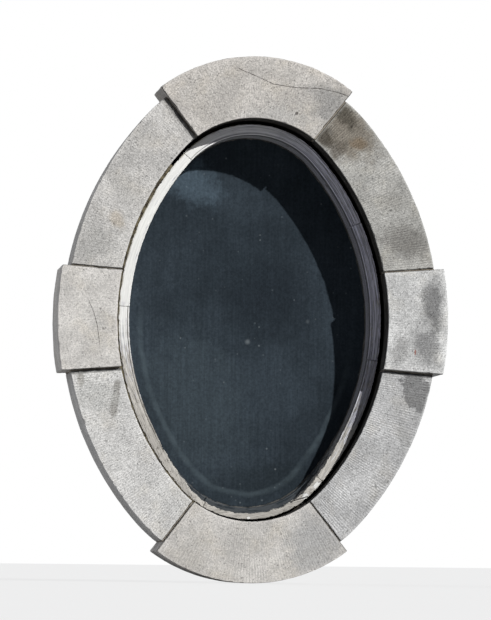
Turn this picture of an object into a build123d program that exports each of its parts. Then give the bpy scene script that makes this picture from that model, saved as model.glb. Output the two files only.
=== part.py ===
from build123d import *

import os
from dataclasses import dataclass
from math import asin, atan2, cos, degrees, radians, sin

# Oval porthole window: eight dressed stones round a layered timber ring that holds one fixed pane.
#
# +X is to the right, +Z is up and +Y goes into the wall. The origin is the oval's centre, in the plane of
# the curved stones' face. A normal is the angle of the oval's outward normal, anticlockwise from +X as the
# front shows it. An offset is measured outward from the stones' inner edge, so what lies inside the opening
# has a negative one. A depth is measured into the wall from the curved stones' face.

# Opening, an upright oval of four arcs
opening_half_width = 324.0
opening_half_height = 481.2
end_radius = 228.0

# Stones
stone_depth = 300.0
curved_stone_band = 120.0
side_key_band = 142.0
end_key_band = 147.0
key_projection = 20.0
side_key_half_height = 117.0
side_key_splay = 4.3
top_key_left_angle = 37.3
top_key_right_angle = 38.7
bottom_key_left_angle = 37.1
bottom_key_right_angle = 38.1
stone_arris = 2.0
chip_length = 22.0
chip_height = 9.0
chip_depth = 12.0

# Mortar between the stones
mortar_joint = 3.5
mortar_face_recess = 6.0
mortar_inner_recess = 3.0

# Iron cramps across the joints at the back, run in with lead
cramp_length = 150.0
cramp_width = 20.0
cramp_thickness = 8.0
cramp_leg = 12.0
cramp_leg_depth = 40.0
cramp_cover = 4.0
cramp_band_offset = 60.0
lead_thickness = 3.0

# Timber ring: three full layers and a rebated one, screwed together from behind
ring_gap = 8.5
ring_width = 25.5
ring_face_depth = 100.0
layer_thickness = 49.3
glazing_layer_thickness = 28.0
butt_gap = 0.8
quirk_width = 1.5
quirk_depth = 3.0
bead_width = 4.0
bead_chamfer = 1.4

# Weathering of the ring's sill: how much of the inner edge is gone, at each normal
worn_depths = [
    (203.0, -3.0), (212.0, 3.0), (222.0, 6.5), (234.0, 10.5), (248.0, 11.0), (262.0, 9.5),
    (274.0, 8.0), (288.0, 9.0), (302.0, 9.0), (314.0, 7.0), (326.0, 3.5), (337.0, -3.0),
]
split_start_normal = 293.5
split_end_normal = 303.0
split_width = 1.4
split_depth = 14.0

# Glazing
glass_thickness = 4.0
glass_clearance = 2.0
rebate_width = 10.0
front_putty_thickness = 2.0
front_putty_overhang = 2.5
back_putty_thickness = 1.5
glazing_bead_depth = 15.0
glazing_bead_gap = 0.4
block_normals = (0.0, 90.0, 180.0, 255.0, 285.0)
block_length = 40.0
block_clearance = 0.1

# Screws between the layers
layer_screw_radius = 2.0
layer_screw_head_radius = 4.0
layer_screw_head_height = 2.5
layer_screw_bite = 25.0
seen_screw_shares = (0.3, 0.7)
staggered_screw_shares = (0.25, 0.75)
screw_clearance = 0.05

# Fixings into the stone
fixing_normals = (35.0, 62.0, 118.0, 152.0, 208.0, 242.0, 298.0, 332.0)
fixing_screw_radius = 2.5
fixing_head_radius = 5.0
fixing_head_height = 3.0
fixing_screw_bite = 46.0
fixing_inset = 15.0
plug_radius = 8.0
plug_length = 60.0
plug_clearance = 0.1
packer_length = 45.0
packer_thickness = 24.0
packer_clearance = 0.15

# Pins through the glazing beads
pin_radius = 0.8
pin_length = 20.0
pin_normals = (55.0, 85.0, 125.0, 150.0, 180.0, 210.0, 235.0, 270.0, 305.0, 333.0, 353.0, 375.0)

# Filler between stone and timber at the left
filler_start_normal = 142.0
filler_end_normal = 236.0
filler_thickness = 12.0
filler_recess = 1.0
filler_clearance = 0.1

# The oval's four arcs
end_centre = opening_half_height - end_radius
side_radius = (opening_half_width**2 - end_radius**2 + end_centre**2) / (
    2 * (opening_half_width - end_radius)
)
side_centre = side_radius - opening_half_width
turn = degrees(atan2(end_centre, side_centre))

# Depths and offsets that follow from the sizes above
second_layer_depth = ring_face_depth + layer_thickness
third_layer_depth = second_layer_depth + layer_thickness
shoulder_depth = third_layer_depth + layer_thickness
glass_face_depth = shoulder_depth + front_putty_thickness
glass_back_depth = glass_face_depth + glass_thickness
glazing_bead_face_depth = glass_back_depth + back_putty_thickness
ring_back_depth = shoulder_depth + glazing_layer_thickness
fixing_depth = second_layer_depth + fixing_inset
ring_outer = -ring_gap
ring_inner = -(ring_gap + ring_width)
rebate_edge = ring_inner + rebate_width
glass_edge = rebate_edge - glass_clearance
layer_screw_offset = (ring_outer + rebate_edge) / 2
fixing_screw_length = ring_gap + ring_width + fixing_screw_bite

# Butt joints of the timber segments: each segment runs anticlockwise from its joint to the next
seen_joints = [
    ("top", 23.5), ("upper_left", 137.7), ("lower_left", 176.9),
    ("bottom", 240.7), ("lower_right", 320.5), ("right", 351.1),
]
staggered_joints = [
    ("upper_right", 5.0), ("upper_left", 90.0), ("left", 163.0),
    ("lower_left", 198.0), ("lower_right", 275.0), ("right", 340.0),
]

# Stone joints: direction, and how far the joint's line passes to the left of its arc's centre
side_key_bias = side_radius * sin(asin(side_key_half_height / side_radius) - radians(side_key_splay))
stone_joints = [
    (-side_key_splay, -side_key_bias),
    (side_key_splay, side_key_bias),
    (90 - top_key_right_angle, 0.0),
    (90 + top_key_left_angle, 0.0),
    (180 - side_key_splay, -side_key_bias),
    (180 + side_key_splay, side_key_bias),
    (270 - bottom_key_left_angle, 0.0),
    (270 + bottom_key_right_angle, 0.0),
    (360 - side_key_splay, -side_key_bias),
]
stones = [
    ("right_keystone", side_key_band, key_projection),
    ("upper_right_stone", curved_stone_band, 0.0),
    ("top_keystone", end_key_band, key_projection),
    ("upper_left_stone", curved_stone_band, 0.0),
    ("left_keystone", side_key_band, key_projection),
    ("lower_left_stone", curved_stone_band, 0.0),
    ("bottom_keystone", end_key_band, key_projection),
    ("lower_right_stone", curved_stone_band, 0.0),
]
mortar_names = [
    "right_key_lower", "right_key_upper", "top_key_right", "top_key_left",
    "left_key_upper", "left_key_lower", "bottom_key_left", "bottom_key_right",
]


@dataclass
class Layer:
    """One timber layer of the ring, with the layer behind it that is screwed to it."""

    name: str
    joints: list
    screw_shares: tuple
    inner: float
    back: float
    thickness: float
    behind: list
    moulded: bool = False
    worn: bool = False
    fixed: bool = False
    rebated: bool = False


def arc_at(normal):
    """Centre and radius, at offset zero, of the arc on which this normal stands."""
    angle = normal % 360
    if angle <= turn or angle >= 360 - turn:
        return (-side_centre, 0.0), side_radius
    if angle < 180 - turn:
        return (0.0, end_centre), end_radius
    if angle <= 180 + turn:
        return (side_centre, 0.0), side_radius
    return (0.0, -end_centre), end_radius


def oval_point(normal, offset):
    """Point (x, z) at this normal and offset."""
    (x, z), radius = arc_at(normal)
    reach = radius + offset
    return (x + reach * cos(radians(normal)), z + reach * sin(radians(normal)))


def angle_of(length, normal, offset):
    """Angle that a short length covers on the oval at this normal and offset."""
    _, radius = arc_at(normal)
    return degrees(length / (radius + offset))


def crossing(joint, shift, offset):
    """Normal at which a stone joint's line, shifted anticlockwise, crosses the oval at this offset."""
    direction, bias = joint
    _, radius = arc_at(direction)
    return direction + degrees(asin((bias + shift) / (radius + offset)))


def spans(start, end):
    """Stretches of a single arc between two normals, each as (start, end)."""
    quarters = [(-turn, turn), (turn, 180 - turn), (180 - turn, 180 + turn), (180 + turn, 360 - turn)]
    found = []
    for lap in (-360, 0, 360):
        for low, high in quarters:
            first = max(start, low + lap)
            last = min(end, high + lap)
            if last - first > 1e-6:
                found.append((first, last))
    return found


def depth_plane(depth):
    """Upright plane at this depth, facing out of the wall, with X to the right and Z up."""
    return Plane.XZ.offset(-depth)


def outward_plane(normal, offset, depth):
    """Plane on the oval at this place, facing outward along the normal."""
    x, z = oval_point(normal, offset)
    return Plane(origin=(x, depth, z), x_dir=(0, 1, 0), z_dir=(cos(radians(normal)), 0, sin(radians(normal))))


def draw_oval(offset, mode=Mode.ADD):
    """Draw the whole oval at this offset in the sketch at hand."""
    with BuildLine() as outline:
        for low, high in spans(-turn, 360 - turn):
            centre, radius = arc_at((low + high) / 2)
            CenterArc(centre, radius + offset, low, high - low)
    make_face(outline.edges(), mode=mode)


def draw_band(inner, outer, inner_span, outer_span):
    """Draw a stretch of the band between two offsets, with a straight end at each side."""
    with BuildLine() as outline:
        for offset, (start, end) in ((inner, inner_span), (outer, outer_span)):
            for low, high in spans(start, end):
                centre, radius = arc_at((low + high) / 2)
                CenterArc(centre, radius + offset, low, high - low)
        for side in (0, 1):
            Line(oval_point(inner_span[side], inner), oval_point(outer_span[side], outer))
    make_face(outline.edges())


def screw(head_radius, head_height, shank_radius, length, grow=0.0, mode=Mode.ADD):
    """Countersunk screw along +Z from the head's flat, in the part at hand; grow makes the hole for it."""
    Cone(
        head_radius + grow, shank_radius + grow, head_height,
        align=(Align.CENTER, Align.CENTER, Align.MIN), mode=mode,
    )
    Cylinder(
        shank_radius + grow, length + grow,
        align=(Align.CENTER, Align.CENTER, Align.MIN), mode=mode,
    )


def fixing_screw(normal, grow=0.0, mode=Mode.ADD):
    """Screw from the ring's inner edge outward into the stone."""
    with Locations(outward_plane(normal, ring_inner, fixing_depth)):
        screw(
            fixing_head_radius, fixing_head_height, fixing_screw_radius,
            fixing_screw_length, grow, mode,
        )


def plug(normal, radius, start, mode=Mode.ADD):
    """Round plug set in a stone, or its hole, from this offset outward to the plug's far end."""
    with Locations(outward_plane(normal, start, fixing_depth)):
        Cylinder(
            radius, plug_length - start,
            align=(Align.CENTER, Align.CENTER, Align.MIN), mode=mode,
        )


def layer_screw(normal, layer, grow=0.0, mode=Mode.ADD):
    """Screw from the back of a timber layer forward into the layer in front of it."""
    x, z = oval_point(normal, layer_screw_offset)
    with Locations(Plane(origin=(x, layer.back, z), x_dir=(1, 0, 0), z_dir=(0, -1, 0))):
        screw(
            layer_screw_head_radius, layer_screw_head_height, layer_screw_radius,
            layer.thickness + layer_screw_bite, grow, mode,
        )


def bead_pin(normal, grow=0.0, mode=Mode.ADD):
    """Pin from a glazing bead's inner edge outward into the glazing layer."""
    depth = glazing_bead_face_depth + glazing_bead_depth / 2
    with Locations(outward_plane(normal, ring_inner, depth)):
        Cylinder(
            pin_radius + grow, pin_length + grow,
            align=(Align.CENTER, Align.CENTER, Align.MIN), mode=mode,
        )


def cramp_plane(joint, depth):
    """Plane across a stone joint at this depth, facing the back, with X across the joint."""
    direction, _ = joint
    x, z = oval_point(crossing(joint, 0.0, cramp_band_offset), cramp_band_offset)
    across = (-sin(radians(direction)), 0, cos(radians(direction)))
    return Plane(origin=(x, depth, z), x_dir=across, z_dir=(0, 1, 0))


def cramp_bar(joint, grow, cover, mode=Mode.ADD):
    """Cramp across a stone joint, with a leg into each stone; grow and cover 0 make its pocket."""
    back = stone_depth - cover
    leg_centre = (cramp_length - cramp_leg) / 2
    bar_depth = cramp_cover + cramp_thickness + grow - cover
    with Locations(cramp_plane(joint, back)):
        Box(
            cramp_length + 2 * grow, cramp_width + 2 * grow, bar_depth,
            align=(Align.CENTER, Align.CENTER, Align.MAX), mode=mode,
        )
        with Locations((-leg_centre, 0), (leg_centre, 0)):
            Box(
                cramp_leg + 2 * grow, cramp_width + 2 * grow, cramp_leg_depth + grow - cover,
                align=(Align.CENTER, Align.CENTER, Align.MAX), mode=mode,
            )


def finish(piece, name):
    """Name a finished piece and write its file."""
    piece.part.label = name
    export_step(piece.part, f"parts/{name}.step")


def cut_chip(corner, projection):
    """Break the outer right corner off the front of the stone at hand."""
    with BuildSketch(depth_plane(chip_depth - projection)) as chip:
        with BuildLine():
            Polyline(
                (corner[0] + chip_height, corner[1] - chip_height),
                (corner[0] - chip_length, corner[1] + chip_length),
                (corner[0] + chip_length, corner[1] + chip_length),
                close=True,
            )
        make_face()
    extrude(chip.sketch, amount=chip_depth, mode=Mode.SUBTRACT)


def make_stone(name, band, projection, first, last):
    """One dressed stone between two joints, eased at its front arrises."""
    half = mortar_joint / 2
    inner_span = (crossing(first, half, 0.0), crossing(last, -half, 0.0))
    outer_span = (crossing(first, half, band), crossing(last, -half, band))
    with BuildPart() as stone:
        with BuildSketch(depth_plane(stone_depth)):
            draw_band(0.0, band, inner_span, outer_span)
        extrude(amount=stone_depth + projection)
        chamfer(stone.edges().group_by(Axis.Y)[0], length=stone_arris)
        if name == "top_keystone":
            cut_chip(oval_point(outer_span[0], band), projection)
        for joint in (first, last):
            cramp_bar(joint, lead_thickness, 0.0, mode=Mode.SUBTRACT)
        for normal in fixing_normals:
            if inner_span[0] < normal < inner_span[1]:
                plug(normal, plug_radius, ring_outer, Mode.SUBTRACT)
    return stone


def make_mortar(joint):
    """Mortar bed in one joint between two stones, raked back from the face."""
    half = mortar_joint / 2
    inner = mortar_inner_recess
    outer = curved_stone_band
    with BuildPart() as mortar:
        with BuildSketch(depth_plane(stone_depth)):
            draw_band(
                inner, outer,
                (crossing(joint, -half, inner), crossing(joint, half, inner)),
                (crossing(joint, -half, outer), crossing(joint, half, outer)),
            )
        extrude(amount=stone_depth - mortar_face_recess)
        cramp_bar(joint, lead_thickness, 0.0, mode=Mode.SUBTRACT)
    return mortar


def cut_bead(segment, face_depth):
    """Mould a bead on the inner edge of the segment at hand: a quirk beside it, and chamfered arrises."""
    with BuildSketch(depth_plane(face_depth)) as quirk:
        draw_oval(ring_inner + bead_width + quirk_width)
        draw_oval(ring_inner + bead_width, mode=Mode.SUBTRACT)
    extrude(quirk.sketch, amount=-quirk_depth, mode=Mode.SUBTRACT)
    front_arcs = segment.edges().group_by(Axis.Y)[0].filter_by(GeomType.CIRCLE)
    chamfer([edge for edge in front_arcs if is_bead_edge(edge)], length=bead_chamfer)


def cut_wear(layer):
    """Take the weathered part off the inner edge of the segment at hand."""
    with BuildSketch(depth_plane(layer.back)) as worn:
        with BuildLine() as edge:
            Spline(*[oval_point(normal, ring_inner + gone) for normal, gone in worn_depths])
            Polyline(edge.line @ 1, (0, 0), edge.line @ 0)
        make_face()
    extrude(worn.sketch, amount=layer.thickness, mode=Mode.SUBTRACT)


def cut_split(face_depth):
    """Open the long split that runs across the sill of the segment at hand."""
    inner = oval_point(split_start_normal, ring_inner)
    outer = oval_point(split_end_normal, 0.0)
    with BuildSketch(depth_plane(face_depth)) as split:
        with BuildLine():
            Polyline(
                inner, outer, (outer[0], outer[1] + split_width), (inner[0], inner[1] + split_width),
                close=True,
            )
        make_face()
    extrude(split.sketch, amount=-split_depth, mode=Mode.SUBTRACT)


def make_segment(layer, start, end):
    """One curved segment of a timber layer between two butt joints."""
    half = butt_gap / 2
    middle = (layer.inner + ring_outer) / 2
    span = (start + angle_of(half, start, middle), end - angle_of(half, end, middle))
    with BuildPart() as segment:
        with BuildSketch(depth_plane(layer.back)):
            draw_band(layer.inner, ring_outer, span, span)
        extrude(amount=layer.thickness)
        if layer.moulded:
            cut_bead(segment, layer.back - layer.thickness)
            cut_split(layer.back - layer.thickness)
        if layer.worn:
            cut_wear(layer)
        for held in [layer] + layer.behind:
            for normal in screw_normals(held):
                if is_between(normal, span):
                    layer_screw(normal, held, screw_clearance, Mode.SUBTRACT)
        if layer.fixed:
            for normal in fixing_normals:
                if is_between(normal, span):
                    fixing_screw(normal, screw_clearance, Mode.SUBTRACT)
        if layer.rebated:
            for normal in pin_normals:
                if is_between(normal, span):
                    bead_pin(normal, screw_clearance, Mode.SUBTRACT)
    return segment


def is_bead_edge(edge):
    """Whether a front edge bounds the bead, by its arc's radius."""
    for offset in (ring_inner, ring_inner + bead_width):
        for radius in (side_radius, end_radius):
            if abs(edge.radius - radius - offset) < 0.01:
                return True
    return False


def is_between(normal, span):
    """Whether a normal lies in a span, counting whole turns."""
    return any(span[0] < normal + lap < span[1] for lap in (-360, 0, 360))


def screw_normals(layer):
    """Where the screws of one layer stand, by the shares of each segment's length at which it has one."""
    pairs = joint_pairs(layer)
    return [start + share * (end - start) for start, end in pairs for share in layer.screw_shares]


def joint_pairs(layer):
    """The normals between which each of a layer's segments runs."""
    normals = [normal for _, normal in layer.joints]
    return list(zip(normals, normals[1:] + [normals[0] + 360]))


def make_layer_screws(layer):
    """All screws of one timber layer."""
    with BuildPart() as screws:
        for normal in screw_normals(layer):
            layer_screw(normal, layer)
    return screws


def make_fixing_screws():
    """Screws that hold the ring in the stones."""
    with BuildPart() as screws:
        for normal in fixing_normals:
            fixing_screw(normal)
    return screws


def make_plugs():
    """Wooden plugs in the stones, bored for the fixing screws."""
    with BuildPart() as plugs:
        for normal in fixing_normals:
            plug(normal, plug_radius - plug_clearance, 0.0)
        for normal in fixing_normals:
            fixing_screw(normal, screw_clearance, Mode.SUBTRACT)
    return plugs


def make_packers():
    """Wooden packers between ring and stone, one at each fixing screw."""
    inner = ring_outer + packer_clearance
    outer = -packer_clearance
    with BuildPart() as packers:
        for normal in fixing_normals:
            reach = angle_of(packer_length / 2, normal, 0.0)
            span = (normal - reach, normal + reach)
            with BuildSketch(depth_plane(fixing_depth + packer_thickness / 2)):
                draw_band(inner, outer, span, span)
            extrude(amount=packer_thickness)
        for normal in fixing_normals:
            fixing_screw(normal, screw_clearance, Mode.SUBTRACT)
    return packers


def make_cramps():
    """Iron cramps across the stone joints."""
    with BuildPart() as cramps:
        for joint in stone_joints[:-1]:
            cramp_bar(joint, 0.0, cramp_cover)
    return cramps


def make_cramp_lead():
    """Lead that fills each cramp's pocket round the iron."""
    with BuildPart() as lead:
        for joint in stone_joints[:-1]:
            cramp_bar(joint, lead_thickness, 0.0)
        for joint in stone_joints[:-1]:
            cramp_bar(joint, 0.0, cramp_cover, mode=Mode.SUBTRACT)
    return lead


def make_oval_plate(edge, back_depth, thickness):
    """Flat oval plate of this edge offset."""
    with BuildPart() as plate:
        with BuildSketch(depth_plane(back_depth)):
            draw_oval(edge)
        extrude(amount=thickness)
    return plate


def make_oval_ring(inner, outer, back_depth, thickness):
    """Flat oval ring between two offsets."""
    with BuildPart() as ring:
        with BuildSketch(depth_plane(back_depth)):
            draw_oval(outer)
            draw_oval(inner, mode=Mode.SUBTRACT)
        extrude(amount=thickness)
    return ring


def make_glazing_bead(start, end):
    """One glazing bead behind the glass, bored for its pins."""
    outer = rebate_edge - glazing_bead_gap / 2
    middle = (ring_inner + outer) / 2
    half = glazing_bead_gap / 2
    span = (start + angle_of(half, start, middle), end - angle_of(half, end, middle))
    with BuildPart() as bead:
        with BuildSketch(depth_plane(glazing_bead_face_depth + glazing_bead_depth)):
            draw_band(ring_inner, outer, span, span)
        extrude(amount=glazing_bead_depth)
        for normal in pin_normals:
            if is_between(normal, span):
                bead_pin(normal, screw_clearance, Mode.SUBTRACT)
    return bead


def make_bead_pins():
    """Pins that hold the glazing beads."""
    with BuildPart() as pins:
        for normal in pin_normals:
            bead_pin(normal)
    return pins


def make_setting_blocks():
    """Blocks between the glass edge and the rebate: two under it, one over it and one at each side."""
    inner = glass_edge + block_clearance
    outer = rebate_edge - block_clearance
    with BuildPart() as blocks:
        for normal in block_normals:
            reach = angle_of(block_length / 2, normal, outer)
            span = (normal - reach, normal + reach)
            with BuildSketch(depth_plane(glass_back_depth)):
                draw_band(inner, outer, span, span)
            extrude(amount=glass_thickness)
    return blocks


def make_filler():
    """Filler strip in the gap between stone and timber, at the left."""
    span = (filler_start_normal, filler_end_normal)
    with BuildPart() as filler:
        with BuildSketch(depth_plane(ring_face_depth + filler_recess + filler_thickness)):
            draw_band(ring_outer + filler_clearance, -filler_clearance, span, span)
        extrude(amount=filler_thickness)
    return filler


os.makedirs("parts", exist_ok=True)

# Stones and the mortar in their joints
for index, (name, band, projection) in enumerate(stones):
    stone = make_stone(name, band, projection, stone_joints[index], stone_joints[index + 1])
    finish(stone, name)
for name, joint in zip(mortar_names, stone_joints):
    finish(make_mortar(joint), f"mortar_{name}")
finish(make_cramps(), "iron_cramps")
finish(make_cramp_lead(), "cramp_lead")

# Timber layers, from the back one forward, so that each knows the one behind it
glazing_layer = Layer(
    "glazing_ring", staggered_joints, staggered_screw_shares,
    rebate_edge, ring_back_depth, glazing_layer_thickness, [], rebated=True,
)
third_layer = Layer(
    "third_ring", seen_joints, seen_screw_shares,
    ring_inner, shoulder_depth, layer_thickness, [glazing_layer],
)
second_layer = Layer(
    "second_ring", staggered_joints, staggered_screw_shares,
    ring_inner, third_layer_depth, layer_thickness, [third_layer], worn=True, fixed=True,
)
face_layer = Layer(
    "face_ring", seen_joints, (),
    ring_inner, second_layer_depth, layer_thickness, [second_layer], moulded=True, worn=True,
)
for layer in (face_layer, second_layer, third_layer, glazing_layer):
    for (place, _), (start, end) in zip(layer.joints, joint_pairs(layer)):
        finish(make_segment(layer, start, end), f"{layer.name}_{place}")

# Screws, plugs and packers
for layer in (second_layer, third_layer, glazing_layer):
    finish(make_layer_screws(layer), f"{layer.name}_screws")
finish(make_fixing_screws(), "fixing_screws")
finish(make_plugs(), "wall_plugs")
finish(make_packers(), "packers")

# Glass and what holds it
finish(make_oval_plate(glass_edge, glass_back_depth, glass_thickness), "glass_pane")
finish(
    make_oval_ring(
        ring_inner - front_putty_overhang, glass_edge, glass_face_depth, front_putty_thickness
    ),
    "front_putty",
)
finish(
    make_oval_ring(ring_inner, glass_edge, glazing_bead_face_depth, back_putty_thickness),
    "back_putty",
)
for place, (start, end) in zip(("right", "top", "left", "bottom"), spans(-turn, 360 - turn)):
    finish(make_glazing_bead(start, end), f"glazing_bead_{place}")
finish(make_bead_pins(), "bead_pins")
finish(make_setting_blocks(), "setting_blocks")
finish(make_filler(), "gap_filler")
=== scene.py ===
"""Looks of the oval porthole window: eight dressed stones round a layered timber ring with one fixed pane.

Blender works in metres: X to the right, Z up, Y into the wall, with the origin at the oval's centre in the
curved stones' face. The sizes below are in millimetres and repeat those of the part's source. A normal is the
angle of the oval's outward normal, anticlockwise from X as the front shows it. An offset is measured outward
from the stones' inner edge, so what lies inside the opening has a negative one. A depth is measured into the
wall.
"""

import logging
import math
from dataclasses import dataclass, field
from enum import Enum
from typing import Callable, Sequence

import bpy
import numpy as np
from mathutils import Matrix, Vector


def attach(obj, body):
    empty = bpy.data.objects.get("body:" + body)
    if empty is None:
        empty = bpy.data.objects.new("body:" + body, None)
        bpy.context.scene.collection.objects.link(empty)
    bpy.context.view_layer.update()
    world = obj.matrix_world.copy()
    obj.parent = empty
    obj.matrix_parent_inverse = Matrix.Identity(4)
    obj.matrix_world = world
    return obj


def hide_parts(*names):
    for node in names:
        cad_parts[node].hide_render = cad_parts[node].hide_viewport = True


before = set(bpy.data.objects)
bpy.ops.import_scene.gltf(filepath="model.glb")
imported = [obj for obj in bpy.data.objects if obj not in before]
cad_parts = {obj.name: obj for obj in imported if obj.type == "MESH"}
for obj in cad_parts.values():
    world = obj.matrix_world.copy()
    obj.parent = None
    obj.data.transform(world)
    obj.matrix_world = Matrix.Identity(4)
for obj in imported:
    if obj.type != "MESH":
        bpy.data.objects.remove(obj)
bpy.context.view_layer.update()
LOG = logging.getLogger("porthole_window")
# One millimetre in metres, the degrees of a full turn, and a distance in millimetres where no crack shows
MM = 0.001
FULL_TURN = 360.0
FAR_FROM_CRACK = 1000.0
Colour = tuple[float, float, float]
Curve = tuple[tuple[float, float], ...]
Joint = tuple[float, float]
Pair = tuple[np.ndarray, np.ndarray]
Material = bpy.types.Material
Piece = bpy.types.Object
Socket = bpy.types.NodeSocket
Tree = bpy.types.NodeTree


class Slot(Enum):
    """Material slots of the record, named for the pieces built here."""

    LIMESTONE = "limestone"
    MORTAR = "mortar"
    LEAD = "lead"
    PAINTED = "painted_timber"
    ROOM_SIDE = "room_side_timber"
    PUTTY = "putty"
    GLASS = "glass"
    STEEL = "steel"
    FILLER = "filler"


def linear(red: float, green: float, blue: float) -> Colour:
    """Scene colour of a display colour.

    Args:
        red: Display red, 0 to 255.
        green: Display green, 0 to 255.
        blue: Display blue, 0 to 255.

    Returns:
        The linear colour that Blender's sockets take.
    """
    parts = [value / 255 for value in (red, green, blue)]
    return tuple(p / 12.92 if p <= 0.04045 else ((p + 0.055) / 1.055) ** 2.4 for p in parts)


def wobble(run: np.ndarray, pitch: float, seed: int) -> np.ndarray:
    """Smooth random waviness along a run.

    Args:
        run: Places along the run.
        pitch: Length of the longest wave, in the run's unit.
        seed: Seed of the waves' phases.

    Returns:
        Values between about -1 and 1, one for each place.
    """
    chance = np.random.default_rng(seed)
    total = np.zeros(len(run))
    for octave in range(5):
        wave = pitch / 1.9**octave * chance.uniform(0.8, 1.2)
        total += np.sin(2 * np.pi * run / wave + chance.uniform(0, 2 * np.pi)) / 1.55**octave
    return total / 1.8


def graded(length: float, step: float, fine: Sequence[float]) -> np.ndarray:
    """Places along a length, close together at both ends and evenly spaced between.

    Args:
        length: The whole length.
        step: Longest distance between two places.
        fine: Distances from each end at which a place stands, rising from 0.

    Returns:
        The places, rising from 0 to the length.
    """
    ends = [value for value in fine if value < length * 0.45]
    middle = length - 2 * ends[-1]
    count = max(2, int(math.ceil(middle / step)) + 1)
    inner = np.linspace(ends[-1], length - ends[-1], count)[1:-1]
    return np.concatenate([ends, inner, [length - value for value in reversed(ends)]])


@dataclass(frozen=True)
class Oval:
    """The upright oval of four arcs on which every piece stands."""

    half_width: float = 324.0
    half_height: float = 481.2
    end_radius: float = 228.0

    @property
    def end_centre(self) -> float:
        """Height of the upper arc's centre."""
        return self.half_height - self.end_radius

    @property
    def side_radius(self) -> float:
        """Radius of the two side arcs, which are tangent to the end arcs."""
        reach = self.half_width**2 - self.end_radius**2 + self.end_centre**2
        return reach / (2 * (self.half_width - self.end_radius))

    @property
    def side_centre(self) -> float:
        """How far each side arc's centre lies past the middle."""
        return self.side_radius - self.half_width

    @property
    def turn(self) -> float:
        """Normal at which the right side arc meets the upper end arc."""
        return math.degrees(math.atan2(self.end_centre, self.side_centre))

    def point(self, normal: np.ndarray, offset: np.ndarray) -> Pair:
        """Places on the oval.

        Args:
            normal: Normals in degrees.
            offset: Offsets outward.

        Returns:
            Their X and Z.
        """
        angle = np.radians(normal)
        turned = np.mod(normal, 360.0)
        side = (turned <= self.turn) | (turned >= 360 - self.turn) | (np.abs(turned - 180) <= self.turn)
        reach = np.where(side, self.side_radius, self.end_radius) + offset
        centre_x = np.where(side, -np.sign(np.cos(angle)) * self.side_centre, 0.0)
        centre_z = np.where(side, 0.0, np.sign(np.sin(angle)) * self.end_centre)
        return centre_x + reach * np.cos(angle), centre_z + reach * np.sin(angle)

    def places(self, normal: np.ndarray, offset: np.ndarray | float, depth: np.ndarray | float
               ) -> np.ndarray:
        """Places on the oval at each normal, one row each."""
        x, z = self.point(normal, np.broadcast_to(offset, len(normal)))
        return np.stack([x, np.full(len(x), depth), z], axis=1)

    @staticmethod
    def outward(normal: np.ndarray) -> np.ndarray:
        """Direction away from the opening at each normal, one row each."""
        angle = np.radians(normal)
        return np.stack([np.cos(angle), np.zeros(len(angle)), np.sin(angle)], axis=1)

    def radius_at(self, direction: float) -> float:
        """Radius, at offset zero, of the arc on which this normal stands."""
        folded = abs((direction + 90) % 180 - 90)
        return self.side_radius if folded <= self.turn else self.end_radius

    def turn_of(self, length: float, direction: float, offset: float) -> float:
        """Degrees that a short length takes up on the oval at this normal and offset."""
        return math.degrees(length / (self.radius_at(direction) + offset))

    def crossing(self, direction: float, bias: float, offset: np.ndarray) -> np.ndarray:
        """Normals at which a straight joint crosses the oval.

        Args:
            direction: Direction of the joint's line, in degrees.
            bias: How far the line passes to the left of its arc's centre.
            offset: Offsets at which the crossing is wanted.

        Returns:
            The normal at each offset.
        """
        return direction + np.degrees(np.arcsin(bias / (self.radius_at(direction) + offset)))

    def run(self, start: float, end: float, offset: float) -> Pair:
        """Normals against distance along a stretch of the oval.

        Args:
            start: First normal.
            end: Last normal.
            offset: Offset at which the distance is measured.

        Returns:
            Finely spaced normals, and the distance of each from the start.
        """
        normals = np.linspace(start, end, 1441)
        x, z = self.point(normals, np.full(len(normals), offset))
        return normals, np.concatenate([[0.0], np.cumsum(np.hypot(np.diff(x), np.diff(z)))])


def block_lattice(a: np.ndarray, b: np.ndarray, c: np.ndarray
                  ) -> tuple[np.ndarray, np.ndarray, np.ndarray, np.ndarray]:
    """Closed lattice of points round a straight block.

    Args:
        a: Places of its lines along the block.
        b: Places of its lines across the block.
        c: Places of its lines through the block.

    Returns:
        The points' places along, across and through, and the quads' point numbers, facing outward.
    """
    i, j, k = np.meshgrid(np.arange(len(a)), np.arange(len(b)), np.arange(len(c)), indexing="ij")
    edge = (i == 0) | (i == len(a) - 1) | (j == 0) | (j == len(b) - 1) | (k == 0) | (k == len(c) - 1)
    numbers = np.full(edge.shape, -1)
    numbers[edge] = np.arange(int(edge.sum()))
    sides = [
        (numbers[0], True), (numbers[-1], False),
        (numbers[:, 0], False), (numbers[:, -1], True),
        (numbers[:, :, 0], True), (numbers[:, :, -1], False),
    ]
    quads = []
    for grid, turned in sides:
        corners = [grid[:-1, :-1], grid[1:, :-1], grid[1:, 1:], grid[:-1, 1:]]
        quad = np.stack(corners, axis=-1).reshape(-1, 4)
        quads.append(quad[:, ::-1] if turned else quad)
    return a[i[edge]], b[j[edge]], c[k[edge]], np.concatenate(quads)


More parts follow.
